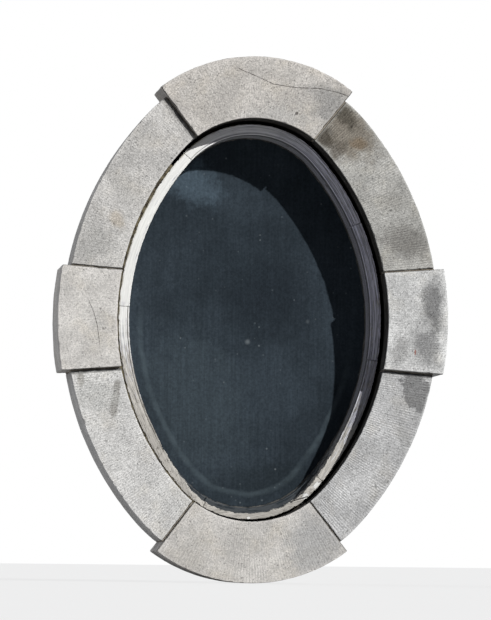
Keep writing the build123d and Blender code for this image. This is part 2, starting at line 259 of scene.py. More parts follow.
@dataclass
class Skin:
    """Closed skin of quads round a block that is bent along the oval, in the block's own run."""

    oval: Oval
    ends: Callable[[np.ndarray], Pair]
    inner: float
    outer: float
    front: float
    back: float
    step: float = 3.0
    cross_step: float = 3.0
    depth_step: float = 12.0
    fine: tuple[float, ...] = (0.0, 0.7, 1.6, 3.0, 5.0)
    offsets: np.ndarray | None = None
    along: np.ndarray = field(init=False)
    offset: np.ndarray = field(init=False)
    depth: np.ndarray = field(init=False)
    quads: np.ndarray = field(init=False)
    length: float = field(init=False)

    def __post_init__(self) -> None:
        """Lay the lattice of the block's skin, before anything bends or wears it."""
        middle = np.array([(self.inner + self.outer) / 2])
        start, end = (float(side[0]) for side in self.ends(middle))
        self._normals, self._distance = self.oval.run(start, end, float(middle[0]))
        self.length = float(self._distance[-1])
        a = graded(self.length, self.step, self.fine)
        b = self.offsets if self.offsets is not None else graded(
            self.outer - self.inner, self.cross_step, self.fine) + self.inner
        c = graded(self.back - self.front, self.depth_step, self.fine) + self.front
        self.along, self.offset, self.depth, self.quads = block_lattice(a, np.asarray(b, float), c)

    @property
    def edge_distance(self) -> np.ndarray:
        """Distance of each point from the block's nearest arris, on the unworn block."""
        gaps = np.stack([
            np.minimum(self.along, self.length - self.along),
            np.minimum(self.offset - self.inner, self.outer - self.offset),
            np.minimum(self.depth - self.front, self.back - self.depth),
        ])
        return np.sort(gaps, axis=0)[1]

    @property
    def normal(self) -> np.ndarray:
        """Normal of each point at the block's middle offset."""
        return np.interp(self.along, self._distance, self._normals)

    def ease(self, radius: np.ndarray | float) -> None:
        """Round every arris of the block.

        Args:
            radius: Radius of the rounding, one for all points or one for each.
        """
        low = np.array([0.0, self.inner, self.front])[:, None]
        high = np.array([self.length, self.outer, self.back])[:, None]
        place = np.stack([self.along, self.offset, self.depth])
        core = np.clip(place, low + radius, high - radius)
        out = place - core
        reach = np.maximum(np.linalg.norm(out, axis=0), 1e-9)
        share = np.where(reach > radius, radius / reach, 1.0)
        self.along, self.offset, self.depth = core + out * share

    def bend(self) -> np.ndarray:
        """Places of the points round the oval, in millimetres, one row each."""
        middle = np.array([(self.inner + self.outer) / 2])
        first, last = self.ends(self.offset)
        middle_first, middle_last = self.ends(middle)
        share = self.along / self.length
        normal = self.normal + (1 - share) * (first - middle_first) + share * (last - middle_last)
        x, z = self.oval.point(normal, self.offset)
        return np.stack([x, self.depth, z], axis=1)


def mesh_piece(name: str, points: np.ndarray, quads: np.ndarray,
               values: dict[str, np.ndarray] | None = None) -> Piece:
    """Make an object of a skin.

    Args:
        name: Name of the object.
        points: Places in millimetres, one row each.
        quads: Point numbers of each face.
        values: Values to keep on the points, by name; three numbers each make a vector.

    Returns:
        The object, linked to the scene.
    """
    mesh = bpy.data.meshes.new(name)
    mesh.from_pydata((points * MM).tolist(), [], quads.tolist())
    mesh.polygons.foreach_set("use_smooth", np.ones(len(mesh.polygons), bool))
    for label, value in (values or {}).items():
        kind = "FLOAT_VECTOR" if value.ndim == 2 else "FLOAT"
        store = mesh.attributes.new(label, kind, "POINT")
        store.data.foreach_set("vector" if value.ndim == 2 else "value", value.astype(np.float32).ravel())
    piece = bpy.data.objects.new(name, mesh)
    bpy.context.scene.collection.objects.link(piece)
    return piece


class Bench:
    """A node tree, with short calls for the nodes that the finishes and the surface trees use."""

    def __init__(self, tree: Tree) -> None:
        """Work on this tree."""
        self.tree = tree

    def node(self, kind: str, **settings: object) -> bpy.types.Node:
        """Add a node and set its properties."""
        made = self.tree.nodes.new(kind)
        for label, value in settings.items():
            setattr(made, label, value)
        return made

    def feed(self, target: Socket, source: object) -> None:
        """Link a socket to an input, or set the input's plain value."""
        if isinstance(source, Socket):
            self.tree.links.new(source, target)
        elif target.type == "RGBA":
            target.default_value = (*source, 1.0)
        else:
            target.default_value = source

    def calc(self, operation: str, first: object, second: object = 0.0) -> Socket:
        """Result of a Math node."""
        made = self.node("ShaderNodeMath", operation=operation)
        self.feed(made.inputs[0], first)
        self.feed(made.inputs[1], second)
        return made.outputs[0]

    def times(self, first: object, second: object) -> Socket:
        """Product of two values."""
        return self.calc("MULTIPLY", first, second)

    def plus(self, first: object, second: object) -> Socket:
        """Sum of two values."""
        return self.calc("ADD", first, second)

    def minus(self, first: object, second: object) -> Socket:
        """First value less the second."""
        return self.calc("SUBTRACT", first, second)

    def thread(self, value: object, width: float, soft: float) -> Socket:
        """Thin line where a noise crosses its middle: full up to a width, gone at the soft width."""
        return self.ramp(self.calc("ABSOLUTE", self.minus(value, 0.5)), width, soft, 1.0, 0.0)

    def ramp(self, value: object, low: float, high: float, start: float = 0.0, end: float = 1.0) -> Socket:
        """Value eased from start to end as the input goes from low to high."""
        made = self.node("ShaderNodeMapRange", interpolation_type="SMOOTHSTEP")
        self.feed(made.inputs[0], value)
        for place, number in zip((1, 2, 3, 4), (low, high, start, end)):
            made.inputs[place].default_value = number
        return made.outputs[0]

    def noise(self, place: object, scale: object, detail: float = 4.0, rough: float = 0.55,
              seed: object = 0.0) -> Socket:
        """Value of a Noise Texture, about 0.5 in the middle."""
        made = self.node("ShaderNodeTexNoise", noise_dimensions="4D")
        self.feed(made.inputs["Vector"], place)
        self.feed(made.inputs["Scale"], scale)
        self.feed(made.inputs["W"], seed)
        made.inputs["Detail"].default_value = detail
        made.inputs["Roughness"].default_value = rough
        return made.outputs[0]

    def cells(self, place: object, scale: object, seed: object = 0.0) -> tuple[Socket, Socket]:
        """Distance to the nearest cell's centre, and that cell's random colour."""
        made = self.node("ShaderNodeTexVoronoi", voronoi_dimensions="4D")
        self.feed(made.inputs["Vector"], place)
        self.feed(made.inputs["Scale"], scale)
        self.feed(made.inputs["W"], seed)
        return made.outputs["Distance"], made.outputs["Color"]

    def stretch(self, place: Socket, scale: Sequence[float], shift: Sequence[float] = (0, 0, 0),
                turn: Sequence[float] = (0, 0, 0)) -> Socket:
        """A place moved, turned and scaled by a Mapping node."""
        made = self.node("ShaderNodeMapping")
        self.feed(made.inputs["Vector"], place)
        made.inputs["Location"].default_value = shift
        made.inputs["Rotation"].default_value = turn
        made.inputs["Scale"].default_value = scale
        return made.outputs[0]

    def parts(self, vector: Socket) -> tuple[Socket, Socket, Socket]:
        """The three numbers of a vector."""
        made = self.node("ShaderNodeSeparateXYZ")
        self.feed(made.inputs[0], vector)
        return made.outputs[0], made.outputs[1], made.outputs[2]

    def vector(self, *numbers: object) -> Socket:
        """Vector of three numbers."""
        made = self.node("ShaderNodeCombineXYZ")
        for target, number in zip(made.inputs, numbers):
            self.feed(target, number)
        return made.outputs[0]

    def mix(self, share: object, first: object, second: object) -> Socket:
        """Colour mixed from the first towards the second."""
        made = self.node("ShaderNodeMix", data_type="RGBA")
        self.feed(made.inputs["Factor"], share)
        self.feed(made.inputs[6], first)
        self.feed(made.inputs[7], second)
        return made.outputs[2]

    def tint(self, colour: object, value: object) -> Socket:
        """Colour times a value."""
        made = self.node("ShaderNodeVectorMath", operation="SCALE")
        self.feed(made.inputs[0], colour if isinstance(colour, Socket) else tuple(colour))
        self.feed(made.inputs["Scale"], value)
        return made.outputs[0]


class Finish(Bench):
    """A material on a Principled shader."""

    def __init__(self, name: str) -> None:
        """Make the material with its shader and output."""
        self.material = bpy.data.materials.new(name)
        self.material.use_nodes = True
        super().__init__(self.material.node_tree)
        self.tree.nodes.clear()
        self.shader = self.node("ShaderNodeBsdfPrincipled")
        output = self.node("ShaderNodeOutputMaterial")
        self.tree.links.new(self.shader.outputs[0], output.inputs["Surface"])

    def place(self) -> Socket:
        """Object coordinates, in metres."""
        return self.node("ShaderNodeTexCoord").outputs["Object"]

    def fibres(self, place: Socket, squeeze: float, scale: float, detail: float = 4.0, rough: float = 0.6,
               seed: float = 0.0) -> Socket:
        """Noise drawn out along the first number of a place."""
        return self.noise(self.stretch(place, (squeeze, 1.0, 1.0)), scale, detail, rough, seed)

    def kept(self, label: str, vector: bool = False) -> Socket:
        """A value that the piece keeps on its points."""
        made = self.node("ShaderNodeAttribute", attribute_name=label)
        return made.outputs["Vector" if vector else "Fac"]

    def set(self, colour: object, roughness: object, height: object = None, relief: float = 0.001,
            **plain: float) -> Material:
        """Join the finish to its shader.

        Args:
            colour: Base colour, or its socket.
            roughness: Roughness, or its socket.
            height: Socket of the surface's height from 0 to 1, if it has relief.
            relief: Height of that relief in metres.
            **plain: Values set on the shader's own sockets, by their names with underscores.

        Returns:
            The finished material.
        """
        self.feed(self.shader.inputs["Base Color"], colour)
        self.feed(self.shader.inputs["Roughness"], roughness)
        if height is not None:
            bump = self.node("ShaderNodeBump")
            bump.inputs["Strength"].default_value = 1.0
            bump.inputs["Distance"].default_value = relief
            self.feed(bump.inputs["Height"], height)
            self.feed(self.shader.inputs["Normal"], bump.outputs[0])
        for label, value in plain.items():
            self.shader.inputs[label.replace("_", " ")].default_value = value
        return self.material


@dataclass(frozen=True)
class Inputs:
    """Number inputs of a Geometry Nodes tree, one field each."""

    def by_name(self) -> dict[str, float]:
        """The values by the names that the tree gives its inputs."""
        return {label.replace("_", " ").title(): value for label, value in vars(self).items()}


@dataclass(frozen=True)
class Wear(Inputs):
    """What the surface tree does to a skin: heights in metres, and sizes as the scales of its noises."""

    undulation: float = 0.0006
    undulation_size: float = 22.0
    grain: float = 0.0002
    grain_size: float = 240.0
    pits: float = 0.0
    pit_size: float = 75.0
    pit_share: float = 0.3
    chips: float = 0.0
    seed: float = 1.0


@dataclass(frozen=True)
class Erosion(Inputs):
    """What the timber tree does to a skin: heights in metres."""

    ridges: float = 0.0024
    brush_marks: float = 0.0004
    chips: float = 0.003
    seed: float = 1.0


@dataclass(frozen=True)
class Fastener(Inputs):
    """Sizes of a screw or pin, in metres."""

    head_radius: float = 0.004
    head_height: float = 0.0025
    shank_radius: float = 0.002
    length: float = 0.074
    slot_width: float = 0.0011
    slot_depth: float = 0.0013
    proud: float = 0.0004


class Shaper(Bench):
    """A Geometry Nodes tree with named inputs, which ends in Realize Instances and Set Material."""

    def __init__(self, name: str, sizes: Inputs) -> None:
        """Make the tree with its inputs.

        Args:
            name: Name of the tree.
            sizes: Its number inputs with their defaults.
        """
        super().__init__(bpy.data.node_groups.new(name, "GeometryNodeTree"))
        face = self.tree.interface
        face.new_socket("Geometry", in_out="INPUT", socket_type="NodeSocketGeometry")
        for label, value in sizes.by_name().items():
            face.new_socket(label, in_out="INPUT", socket_type="NodeSocketFloat").default_value = value
        face.new_socket("Finish", in_out="INPUT", socket_type="NodeSocketMaterial")
        face.new_socket("Geometry", in_out="OUTPUT", socket_type="NodeSocketGeometry")
        self.given = self.node("NodeGroupInput").outputs

    def kept(self, label: str, kind: str = "FLOAT") -> Socket:
        """A value that the mesh keeps on its points."""
        made = self.node("GeometryNodeInputNamedAttribute", data_type=kind)
        made.inputs["Name"].default_value = label
        return made.outputs[0]

    def keep(self, geometry: Socket, label: str, value: Socket) -> Socket:
        """Keep a number on the points for the finish to read."""
        made = self.node("GeometryNodeStoreNamedAttribute", data_type="FLOAT", domain="POINT")
        made.inputs["Name"].default_value = label
        self.feed(made.inputs["Geometry"], geometry)
        self.feed(made.inputs["Value"], value)
        return made.outputs[0]

    def push(self, geometry: Socket, amount: Socket) -> Socket:
        """Move the points along their normals by an amount in metres."""
        scaled = self.node("ShaderNodeVectorMath", operation="SCALE")
        self.feed(scaled.inputs[0], self.node("GeometryNodeInputNormal").outputs[0])
        self.feed(scaled.inputs["Scale"], amount)
        moved = self.node("GeometryNodeSetPosition")
        self.feed(moved.inputs["Geometry"], geometry)
        self.feed(moved.inputs["Offset"], scaled.outputs[0])
        return moved.outputs[0]

    def close(self, geometry: Socket) -> Tree:
        """End the tree: realise what is repeated and give it the finish."""
        real = self.node("GeometryNodeRealizeInstances")
        self.feed(real.inputs[0], geometry)
        dressed = self.node("GeometryNodeSetMaterial")
        self.feed(dressed.inputs["Geometry"], real.outputs[0])
        self.feed(dressed.inputs["Material"], self.given["Finish"])
        self.feed(self.node("NodeGroupOutput").inputs[0], dressed.outputs[0])
        return self.tree

    @staticmethod
    def run(piece: Piece, tree: Tree, finish: Material, sizes: Inputs, crease: float = 38.0) -> Piece:
        """Run a tree over a piece and keep the result as its plain mesh.

        Args:
            piece: The piece that the tree starts from.
            tree: The tree.
            finish: The material that the tree sets.
            sizes: Values of the tree's number inputs.
            crease: Angle in degrees above which an edge stays sharp.

        Returns:
            The same piece, with its new mesh and no modifier.
        """
        modifier = piece.modifiers.new("surface", "NODES")
        modifier.node_group = tree
        values = sizes.by_name()
        for item in tree.interface.items_tree:
            if item.item_type != "SOCKET" or item.in_out != "INPUT":
                continue
            if item.name == "Finish":
                modifier[item.identifier] = finish
            elif item.name in values:
                modifier[item.identifier] = float(values[item.name])
        graph = bpy.context.evaluated_depsgraph_get()
        made = bpy.data.meshes.new_from_object(
            piece.evaluated_get(graph), preserve_all_data_layers=True, depsgraph=graph)
        piece.modifiers.clear()
        piece.data = made
        made.set_sharp_from_angle(angle=math.radians(crease))
        return piece


def surface_tree() -> Tree:
    """Tree that weathers a closed skin: slow undulation, grain, pits and chipped arrises."""
    shaper = Shaper("weathered_surface", Wear())
    given = shaper.given
    seed = given["Seed"]
    place = shaper.node("GeometryNodeInputPosition").outputs[0]
    slow = shaper.minus(shaper.noise(place, given["Undulation Size"], 3.0, 0.5, seed), 0.5)
    fine = shaper.minus(shaper.noise(place, given["Grain Size"], 3.0, 0.6, seed), 0.5)
    distance, chance = shaper.cells(place, given["Pit Size"], seed)
    bowl = shaper.ramp(distance, 0.12, 0.42, 1.0, 0.0)
    red = shaper.parts(chance)[0]
    hollow = shaper.times(bowl, shaper.calc("LESS_THAN", red, given["Pit Share"]))
    patch = shaper.ramp(shaper.noise(place, 14.0, 2.0, 0.5, seed), 0.42, 0.6)
    hollow = shaper.times(hollow, patch)
    broken = shaper.ramp(shaper.noise(place, 55.0, 3.0, 0.6, seed), 0.53, 0.68)
    broken = shaper.times(broken, shaper.kept("arris"))
    up = shaper.plus(shaper.times(slow, given["Undulation"]), shaper.times(fine, given["Grain"]))
    down = shaper.plus(shaper.times(hollow, given["Pits"]), shaper.times(broken, given["Chips"]))
    moved = shaper.push(given["Geometry"], shaper.minus(up, down))
    return shaper.close(shaper.keep(shaper.keep(moved, "hollow", hollow), "broken", broken))


def timber_tree() -> Tree:
    """Tree that erodes bare timber along its grain, and leaves painted timber nearly flat."""
    shaper = Shaper("eroded_timber", Erosion())
    given = shaper.given
    grain = shaper.kept("grain", "FLOAT_VECTOR")
    bare = shaper.kept("bare")
    long_place = shaper.node("ShaderNodeVectorMath", operation="MULTIPLY")
    shaper.feed(long_place.inputs[0], grain)
    long_place.inputs[1].default_value = (0.07, 1.0, 1.0)
    seed = given["Seed"]
    ridge = shaper.minus(shaper.noise(long_place.outputs[0], 230.0, 3.0, 0.6, seed), 0.5)
    ridge = shaper.times(ridge, shaper.times(bare, given["Ridges"]))
    place = shaper.node("GeometryNodeInputPosition").outputs[0]
    brush = shaper.minus(shaper.noise(place, 60.0, 2.0, 0.5, seed), 0.5)
    brush = shaper.times(brush, given["Brush Marks"])
    broken = shaper.ramp(shaper.noise(place, 60.0, 3.0, 0.6, seed), 0.5, 0.66)
    broken = shaper.times(broken, shaper.kept("arris"))
    broken = shaper.times(broken, shaper.times(bare, given["Chips"]))
    moved = shaper.push(given["Geometry"], shaper.minus(shaper.plus(ridge, brush), broken))
    return shaper.close(moved)


def cone(shaper: Shaper, sides: int, wide: object, narrow: object, length: object) -> Socket:
    """Cone from its wide end, at the origin, to its narrow one."""
    made = shaper.node("GeometryNodeMeshCone")
    made.inputs["Vertices"].default_value = sides
    for label, value in (("Radius Bottom", wide), ("Radius Top", narrow), ("Depth", length)):
        shaper.feed(made.inputs[label], value)
    return made.outputs[0]


def fastener_tree() -> Tree:
    """Tree that sets a slotted countersunk screw, or a plain pin, on each point, along the point's axis."""
    shaper = Shaper("fasteners", Fastener())
    given = shaper.given
    radius, head_radius = given["Shank Radius"], given["Head Radius"]
    head = cone(shaper, 24, head_radius, radius, given["Head Height"])
    shank = cone(shaper, 16, shaper.times(radius, 0.98), shaper.times(radius, 0.25), given["Length"])
    slot = shaper.node("GeometryNodeMeshCube")
    twice_deep = shaper.times(given["Slot Depth"], 2.0)
    size = shaper.vector(shaper.times(head_radius, 2.4), given["Slot Width"], twice_deep)
    shaper.feed(slot.inputs["Size"], size)
    cut = shaper.node("GeometryNodeMeshBoolean", operation="DIFFERENCE")
    shaper.feed(cut.inputs[0], head)
    shaper.feed(cut.inputs[1], slot.outputs[0])
    joined = shaper.node("GeometryNodeJoinGeometry")
    shaper.feed(joined.inputs[0], cut.outputs[0])
    shaper.feed(joined.inputs[0], shank)
    lowered = shaper.node("GeometryNodeTransform")
    shift = shaper.vector(0.0, 0.0, shaper.times(given["Proud"], -1.0))
    shaper.feed(lowered.inputs["Geometry"], joined.outputs[0])
    shaper.feed(lowered.inputs["Translation"], shift)
    aim = shaper.node("FunctionNodeAlignRotationToVector", axis="Z")
    shaper.feed(aim.inputs["Vector"], shaper.kept("axis", "FLOAT_VECTOR"))
    spin = shaper.node("FunctionNodeAxisAngleToRotation")
    shaper.feed(spin.inputs["Angle"], shaper.kept("turn"))
    both = shaper.node("FunctionNodeRotateRotation", rotation_space="LOCAL")
    shaper.feed(both.inputs[0], aim.outputs[0])
    shaper.feed(both.inputs[1], spin.outputs[0])
    set_out = shaper.node("GeometryNodeInstanceOnPoints")
    shaper.feed(set_out.inputs["Points"], given["Geometry"])
    shaper.feed(set_out.inputs["Instance"], lowered.outputs[0])
    shaper.feed(set_out.inputs["Rotation"], both.outputs[0])
    return shaper.close(set_out.outputs[0])


@dataclass(frozen=True)
class FacePatch:
    """A patch on a face: where it lies, its half sizes, its slant in degrees and its display colour.

    Its edge is soft where hard is 0 and sharp where it is 1.
    """

    x: float
    z: float
    width: float
    height: float
    slant: float
    colour: Colour
    strength: float
    hard: float = 0.0


def soft_patch(finish: Finish, place: Socket, colour: Socket, face_patch: FacePatch, seed: float) -> Socket:
    """Lay one ragged patch over a colour.

    Args:
        finish: The finish that the patch belongs to.
        place: Object coordinates.
        colour: Colour under the patch.
        face_patch: The patch.
        seed: Seed of its ragged edge.

    Returns:
        The colour with the patch.
    """
    centred = finish.stretch(place, (1, 1, 1), (-face_patch.x * MM, 0, -face_patch.z * MM))
    turned = finish.stretch(centred, (1, 0, 1), (0, 0, 0), (0, math.radians(face_patch.slant), 0))
    scaled = finish.stretch(turned, (1000 / face_patch.width, 1, 1000 / face_patch.height))
    length = finish.node("ShaderNodeVectorMath", operation="LENGTH")
    finish.feed(length.inputs[0], scaled)
    slow = finish.minus(finish.noise(place, 34.0, 6.0, 0.7, seed), 0.5)
    reach = finish.plus(length.outputs["Value"], finish.times(slow, 1.9))
    inner, outer = 0.4 + 0.35 * face_patch.hard, 1.3 - 0.45 * face_patch.hard
    return finish.mix(finish.ramp(reach, inner, outer, face_patch.strength, 0.0), colour, linear(*face_patch.colour))


@dataclass(frozen=True)
class Limestone:
    """Dressed limestone, one finish a stone."""

    name: str
    tone: Colour
    tooling: float = 0.5
    mottle: float = 0.5
    # Patches of dirt, and on the right-hand stones painted branch shadows.
    stains: tuple[FacePatch, ...] = ()
    seed: float = 1.0
    grain: float = 0.26

    def make(self) -> Material:
        """Build the material: mottled stone, tooled lines, grain, dark hollows, patches of dirt and painted
        branch shadow, painted shadow at the ends beside the keys, and painted shade with old dirt on the
        reveal.
        """
        finish = Finish(f"limestone_{self.name}")
        place = finish.place()
        along, offset, depth = finish.parts(finish.kept("course", vector=True))
        grit = finish.noise(place, 300.0, 4.0, 0.8, self.seed)
        blotch = finish.noise(place, 42.0, 5.0, 0.7, self.seed + 3)
        clean = self._mottled(finish, place, blotch)
        colour = clean
        for number, face_patch in enumerate(self.stains):
            colour = soft_patch(finish, place, colour, face_patch, self.seed + number)
        colour = finish.mix(finish.ramp(depth, 0.015, 0.07), colour, clean)
        colour = self._speckle(finish, place, colour, grit)
        colour = finish.tint(colour, finish.ramp(finish.kept("hollow"), 0.1, 0.9, 1.0, 0.45))
        lines, front = self._tooling(finish, place, along, depth)
        tooled = finish.plus(1 - 0.15 * self.tooling, finish.times(lines, 0.26 * self.tooling))
        colour = finish.tint(colour, tooled)
        worn = finish.times(finish.kept("arris"), finish.ramp(blotch, 0.35, 0.6, 0.15, 0.7))
        colour = finish.mix(finish.times(worn, front), colour, self._shade(1.2))
        colour = self._sooty(finish, place, colour, blotch, offset, depth)
        line = self._crack(finish, place)
        colour = finish.mix(finish.times(line, 0.75), colour, linear(58, 52, 47))
        sand = finish.times(finish.noise(place, 420.0, 3.0, 0.7, self.seed), 0.8)
        height = finish.plus(finish.times(lines, 0.6 * self.tooling), sand)
        height = finish.minus(height, finish.times(line, 0.8))
        rough = finish.ramp(grit, 0.3, 0.7, 0.82, 0.95)
        return finish.set(colour, rough, height, 0.0016, Specular_IOR_Level=0.06)

    def _shade(self, share: float, green: float = 1.0, blue: float = 1.0) -> Colour:
        """The stone's tone made lighter or darker, with less green and blue where it is warmer."""
        return tuple(min(1.0, value * part * share) for value, part in zip(self.tone, (1.0, green, blue)))

    def _mottled(self, finish: Finish, place: Socket, blotch: Socket) -> Socket:
        """Clouded stone with cream and grey blotches, before it is stained."""
        cloud = finish.noise(place, 9.0, 6.0, 0.65, self.seed)
        dim = self._shade(1 - 0.26 * self.mottle)
        colour = finish.mix(finish.ramp(cloud, 0.36, 0.64), dim, self._shade(1.1))
        warm = finish.ramp(finish.noise(place, 15.0, 4.0, 0.6, self.seed + 8), 0.46, 0.7, 0.0, 0.5)
        colour = finish.mix(warm, colour, self._shade(1.0, 0.96, 0.88))
        share = finish.times(finish.ramp(blotch, 0.5, 0.7), 0.65 * self.mottle)
        return finish.mix(share, colour, self._shade(0.72))

    def _sooty(self, finish: Finish, place: Socket, colour: Socket, blotch: Socket, offset: Socket,
               depth: Socket) -> Socket:
        """Colour with painted shadow at the stone's ends near the face, where the projecting keys cast
        theirs, and painted shade with old dirt on its reveal.
        """
        # Painted shadow: the ends go nearly black near the face, wide where a projecting key casts its shadow
        # on the stone and thin at the other joints.
        soot = finish.times(finish.kept("end"), finish.ramp(blotch, 0.3, 0.6, 0.55, 0.96))
        soot = finish.times(soot, finish.ramp(depth, 0.004, 0.012, 1.0, 0.0))
        colour = finish.mix(soot, colour, self._shade(0.1))
        # Painted shade with old dirt: the reveal made nearly black.
        return finish.mix(self._soffit(finish, place, offset, depth), colour, self._shade(0.05, 0.93, 0.87))

    def _crack(self, finish: Finish, place: Socket) -> Socket:
        """Share of a crack's dark line, which is uneven in width."""
        jitter = finish.ramp(finish.noise(place, 160.0, 3.0, 0.6, self.seed), 0.3, 0.7, 0.3, 1.5)
        away = finish.calc("DIVIDE", finish.calc("ABSOLUTE", finish.kept("crack")), jitter)
        return finish.ramp(away, 0.0003, 0.0011, 1.0, 0.0)

    def _speckle(self, finish: Finish, place: Socket, colour: Socket, grit: Socket) -> Socket:
        """Grains a few millimetres wide, pale and dark, over a colour."""
        colour = finish.tint(colour, finish.ramp(grit, 0.3, 0.7, 1 - self.grain, 1 + self.grain))
        _, chance = finish.cells(place, 360.0, self.seed)
        red, green, _ = finish.parts(chance)
        colour = finish.tint(colour, finish.ramp(red, 0.0, 1.0, 1 - 0.7 * self.grain, 1 + 0.7 * self.grain))
        dark = finish.times(finish.calc("LESS_THAN", green, 0.06), 1.4 * self.grain)
        return finish.tint(colour, finish.minus(1.0, dark))

    def _tooling(self, finish: Finish, place: Socket, along: Socket, depth: Socket) -> tuple[Socket, Socket]:
        """Lines left by the mason's drove across the band, and where the front face is."""
        drift = finish.times(finish.noise(place, 30.0, 3.0, 0.6, self.seed), 0.006)
        phase = finish.times(finish.plus(along, drift), 2 * math.pi / 0.0057)
        wave = finish.plus(finish.times(finish.calc("SINE", phase), 0.5), 0.5)
        patch = finish.ramp(finish.noise(place, 18.0, 3.0, 0.6, self.seed + 5), 0.4, 0.6, 0.25, 1.0)
        front = finish.calc("LESS_THAN", depth, 0.0035)
        return finish.times(finish.times(wave, patch), front), front

    @staticmethod
    def _soffit(finish: Finish, place: Socket, offset: Socket, depth: Socket) -> Socket:
        """Share of painted shade with old dirt on the reveal, which thins out towards the front arris."""
        inner = finish.ramp(offset, 0.0004, 0.0022, 1.0, 0.0)
        deep = finish.ramp(depth, 0.0, 0.022)
        patchy = finish.ramp(finish.noise(place, 26.0, 4.0, 0.6), 0.3, 0.6, 0.86, 0.99)
        return finish.times(finish.times(inner, deep), patchy)


@dataclass
class StoneSurround:
    """Eight dressed stones with the mortar in their joints."""

    oval: Oval = field(default_factory=Oval)
    stone_depth: float = 300.0
    curved_band: float = 120.0
    side_key_band: float = 142.0
    end_key_band: float = 147.0
    key_projection: float = 20.0
    side_key_half_height: float = 117.0
    side_key_splay: float = 4.3
    top_key_angles: tuple[float, float] = (38.7, 37.3)
    bottom_key_angles: tuple[float, float] = (37.1, 38.1)
    joint: float = 3.5
    face_recess: float = 6.0
    inner_recess: float = 3.0
    mortar_bite: float = 0.1
    arris: float = 2.2
    weathered_depth: float = 130.0
    chip_depth: float = 12.0
    chip_reach: float = 48.0

    def joints(self) -> list[Joint]:
        """Direction and bias of each joint's line, anticlockwise from below the right key."""
        radius, splay = self.oval.side_radius, self.side_key_splay
        bias = radius * math.sin(math.asin(self.side_key_half_height / radius) - math.radians(splay))
        return [
            (-splay, -bias), (splay, bias),
            (90 - self.top_key_angles[0], 0.0), (90 + self.top_key_angles[1], 0.0),
            (180 - splay, -bias), (180 + splay, bias),
            (270 - self.bottom_key_angles[0], 0.0), (270 + self.bottom_key_angles[1], 0.0),
            (360 - splay, -bias),
        ]

    def build(self, surface: Tree) -> None:
        """Build and dress every stone and every mortar bed.

        Args:
            surface: The tree that weathers a skin.
        """
        joints = self.joints()
        for index, spec in enumerate(STONE_SPECS):
            self._stone(spec, index, joints[index], joints[index + 1], surface)
        mortar = mortar_finish()
        for index, node in enumerate(MORTAR_NODES):
            self._mortar(node, index, joints[index], mortar, surface)

    def _ends(self, first: Joint, last: Joint, gap: float) -> Callable[[np.ndarray], Pair]:
        """Function that gives a block's first and last normal at an offset, held off its joints by a gap."""
        def at(offset: np.ndarray) -> Pair:
            """First and last normal at each offset."""
            start = self.oval.crossing(first[0], first[1] + gap, offset)
            return start, self.oval.crossing(last[0], last[1] - gap, offset)
        return at

    def _stone(self, spec: "StoneSpec", index: int, first: Joint, last: Joint, surface: Tree) -> None:
        """One stone between two joints."""
        widths = {Band.CURVED: self.curved_band, Band.SIDE_KEY: self.side_key_band,
                  Band.END_KEY: self.end_key_band}
        front = 0.0 if spec.band is Band.CURVED else -self.key_projection
        skin = Skin(self.oval, self._ends(first, last, self.joint / 2), 0.0, widths[spec.band], front,
                    self.stone_depth, step=2.8, cross_step=2.8, depth_step=9.0)
        near = np.exp(-(skin.edge_distance / 3.5) ** 2) * (skin.depth < self.weathered_depth)
        skin.ease(self.arris * (1 + 0.35 * wobble(skin.along + skin.offset * 0.7, 90.0, index + 11)))
        course = np.stack([skin.along, skin.offset, skin.depth - front], axis=1)
        points = skin.bend()
        if spec.node == "top_keystone":
            self._break_corner(points, front)
        # Share of the painted shadow at each end of the stone, kept as end.
        end = np.maximum(np.exp(-(skin.along / spec.soot[0]) ** 4),
                         np.exp(-((skin.length - skin.along) / spec.soot[1]) ** 4))
        crack = crack_distance(points, spec.crack)
        values = {"course": course * MM, "arris": near, "end": end, "crack": crack}
        piece = mesh_piece(f"dressed_{spec.node}", points, skin.quads, values)
        Shaper.run(piece, surface, spec.finish.make(), Wear(
            spec.undulation, 21.0, grain=0.0005, grain_size=260.0, pits=spec.pits, pit_size=95.0,
            pit_share=spec.pit_share, chips=0.0035, seed=spec.finish.seed * 7.3))
        settle(piece, Slot.LIMESTONE, spec.node)

    def _break_corner(self, points: np.ndarray, front: float) -> None:
        """Break the outer right corner off the top key, where the solid has its chip."""
        start = float(self.oval.crossing(90 - self.top_key_angles[0], self.joint / 2, self.end_key_band))
        x, z = (float(v) for v in self.oval.point(np.array([start]), np.array([self.end_key_band])))
        inside = (points[:, 0] - x) + (points[:, 2] - z) + 4.0 * wobble(points[:, 0] - points[:, 2], 26.0, 5)
        depth = np.clip((inside + 12.0) / 14.0, 0.0, 1.0)
        limit = front + self.chip_depth * depth
        close = (np.abs(points[:, 0] - x) < self.chip_reach) & (np.abs(points[:, 2] - z) < self.chip_reach)
        low = close & (points[:, 1] < limit)
        points[low, 1] = limit[low]

    def _mortar(self, node: str, index: int, joint: Joint, finish: Material, surface: Tree) -> None:
        """One mortar bed, raked back from the face and pressed a little into the stones."""
        direction, bias = joint
        reach = self.joint + self.mortar_bite
        ends = self._ends((direction, bias - reach), (direction, bias + reach), self.joint / 2)
        skin = Skin(self.oval, ends, self.inner_recess, self.curved_band, self.face_recess, self.stone_depth,
                    step=1.2, cross_step=2.5, depth_step=8.0, fine=(0.0, 0.5, 1.2))
        skin.ease(0.8)
        values = {"arris": np.zeros(len(skin.along))}
        piece = mesh_piece(f"raked_mortar_{node}", skin.bend(), skin.quads, values)
        Shaper.run(piece, surface, finish, Wear(
            undulation=0.0009, undulation_size=60.0, grain=0.0006, grain_size=400.0, seed=index + 40.0))
        settle(piece, Slot.MORTAR, f"mortar_{node}")


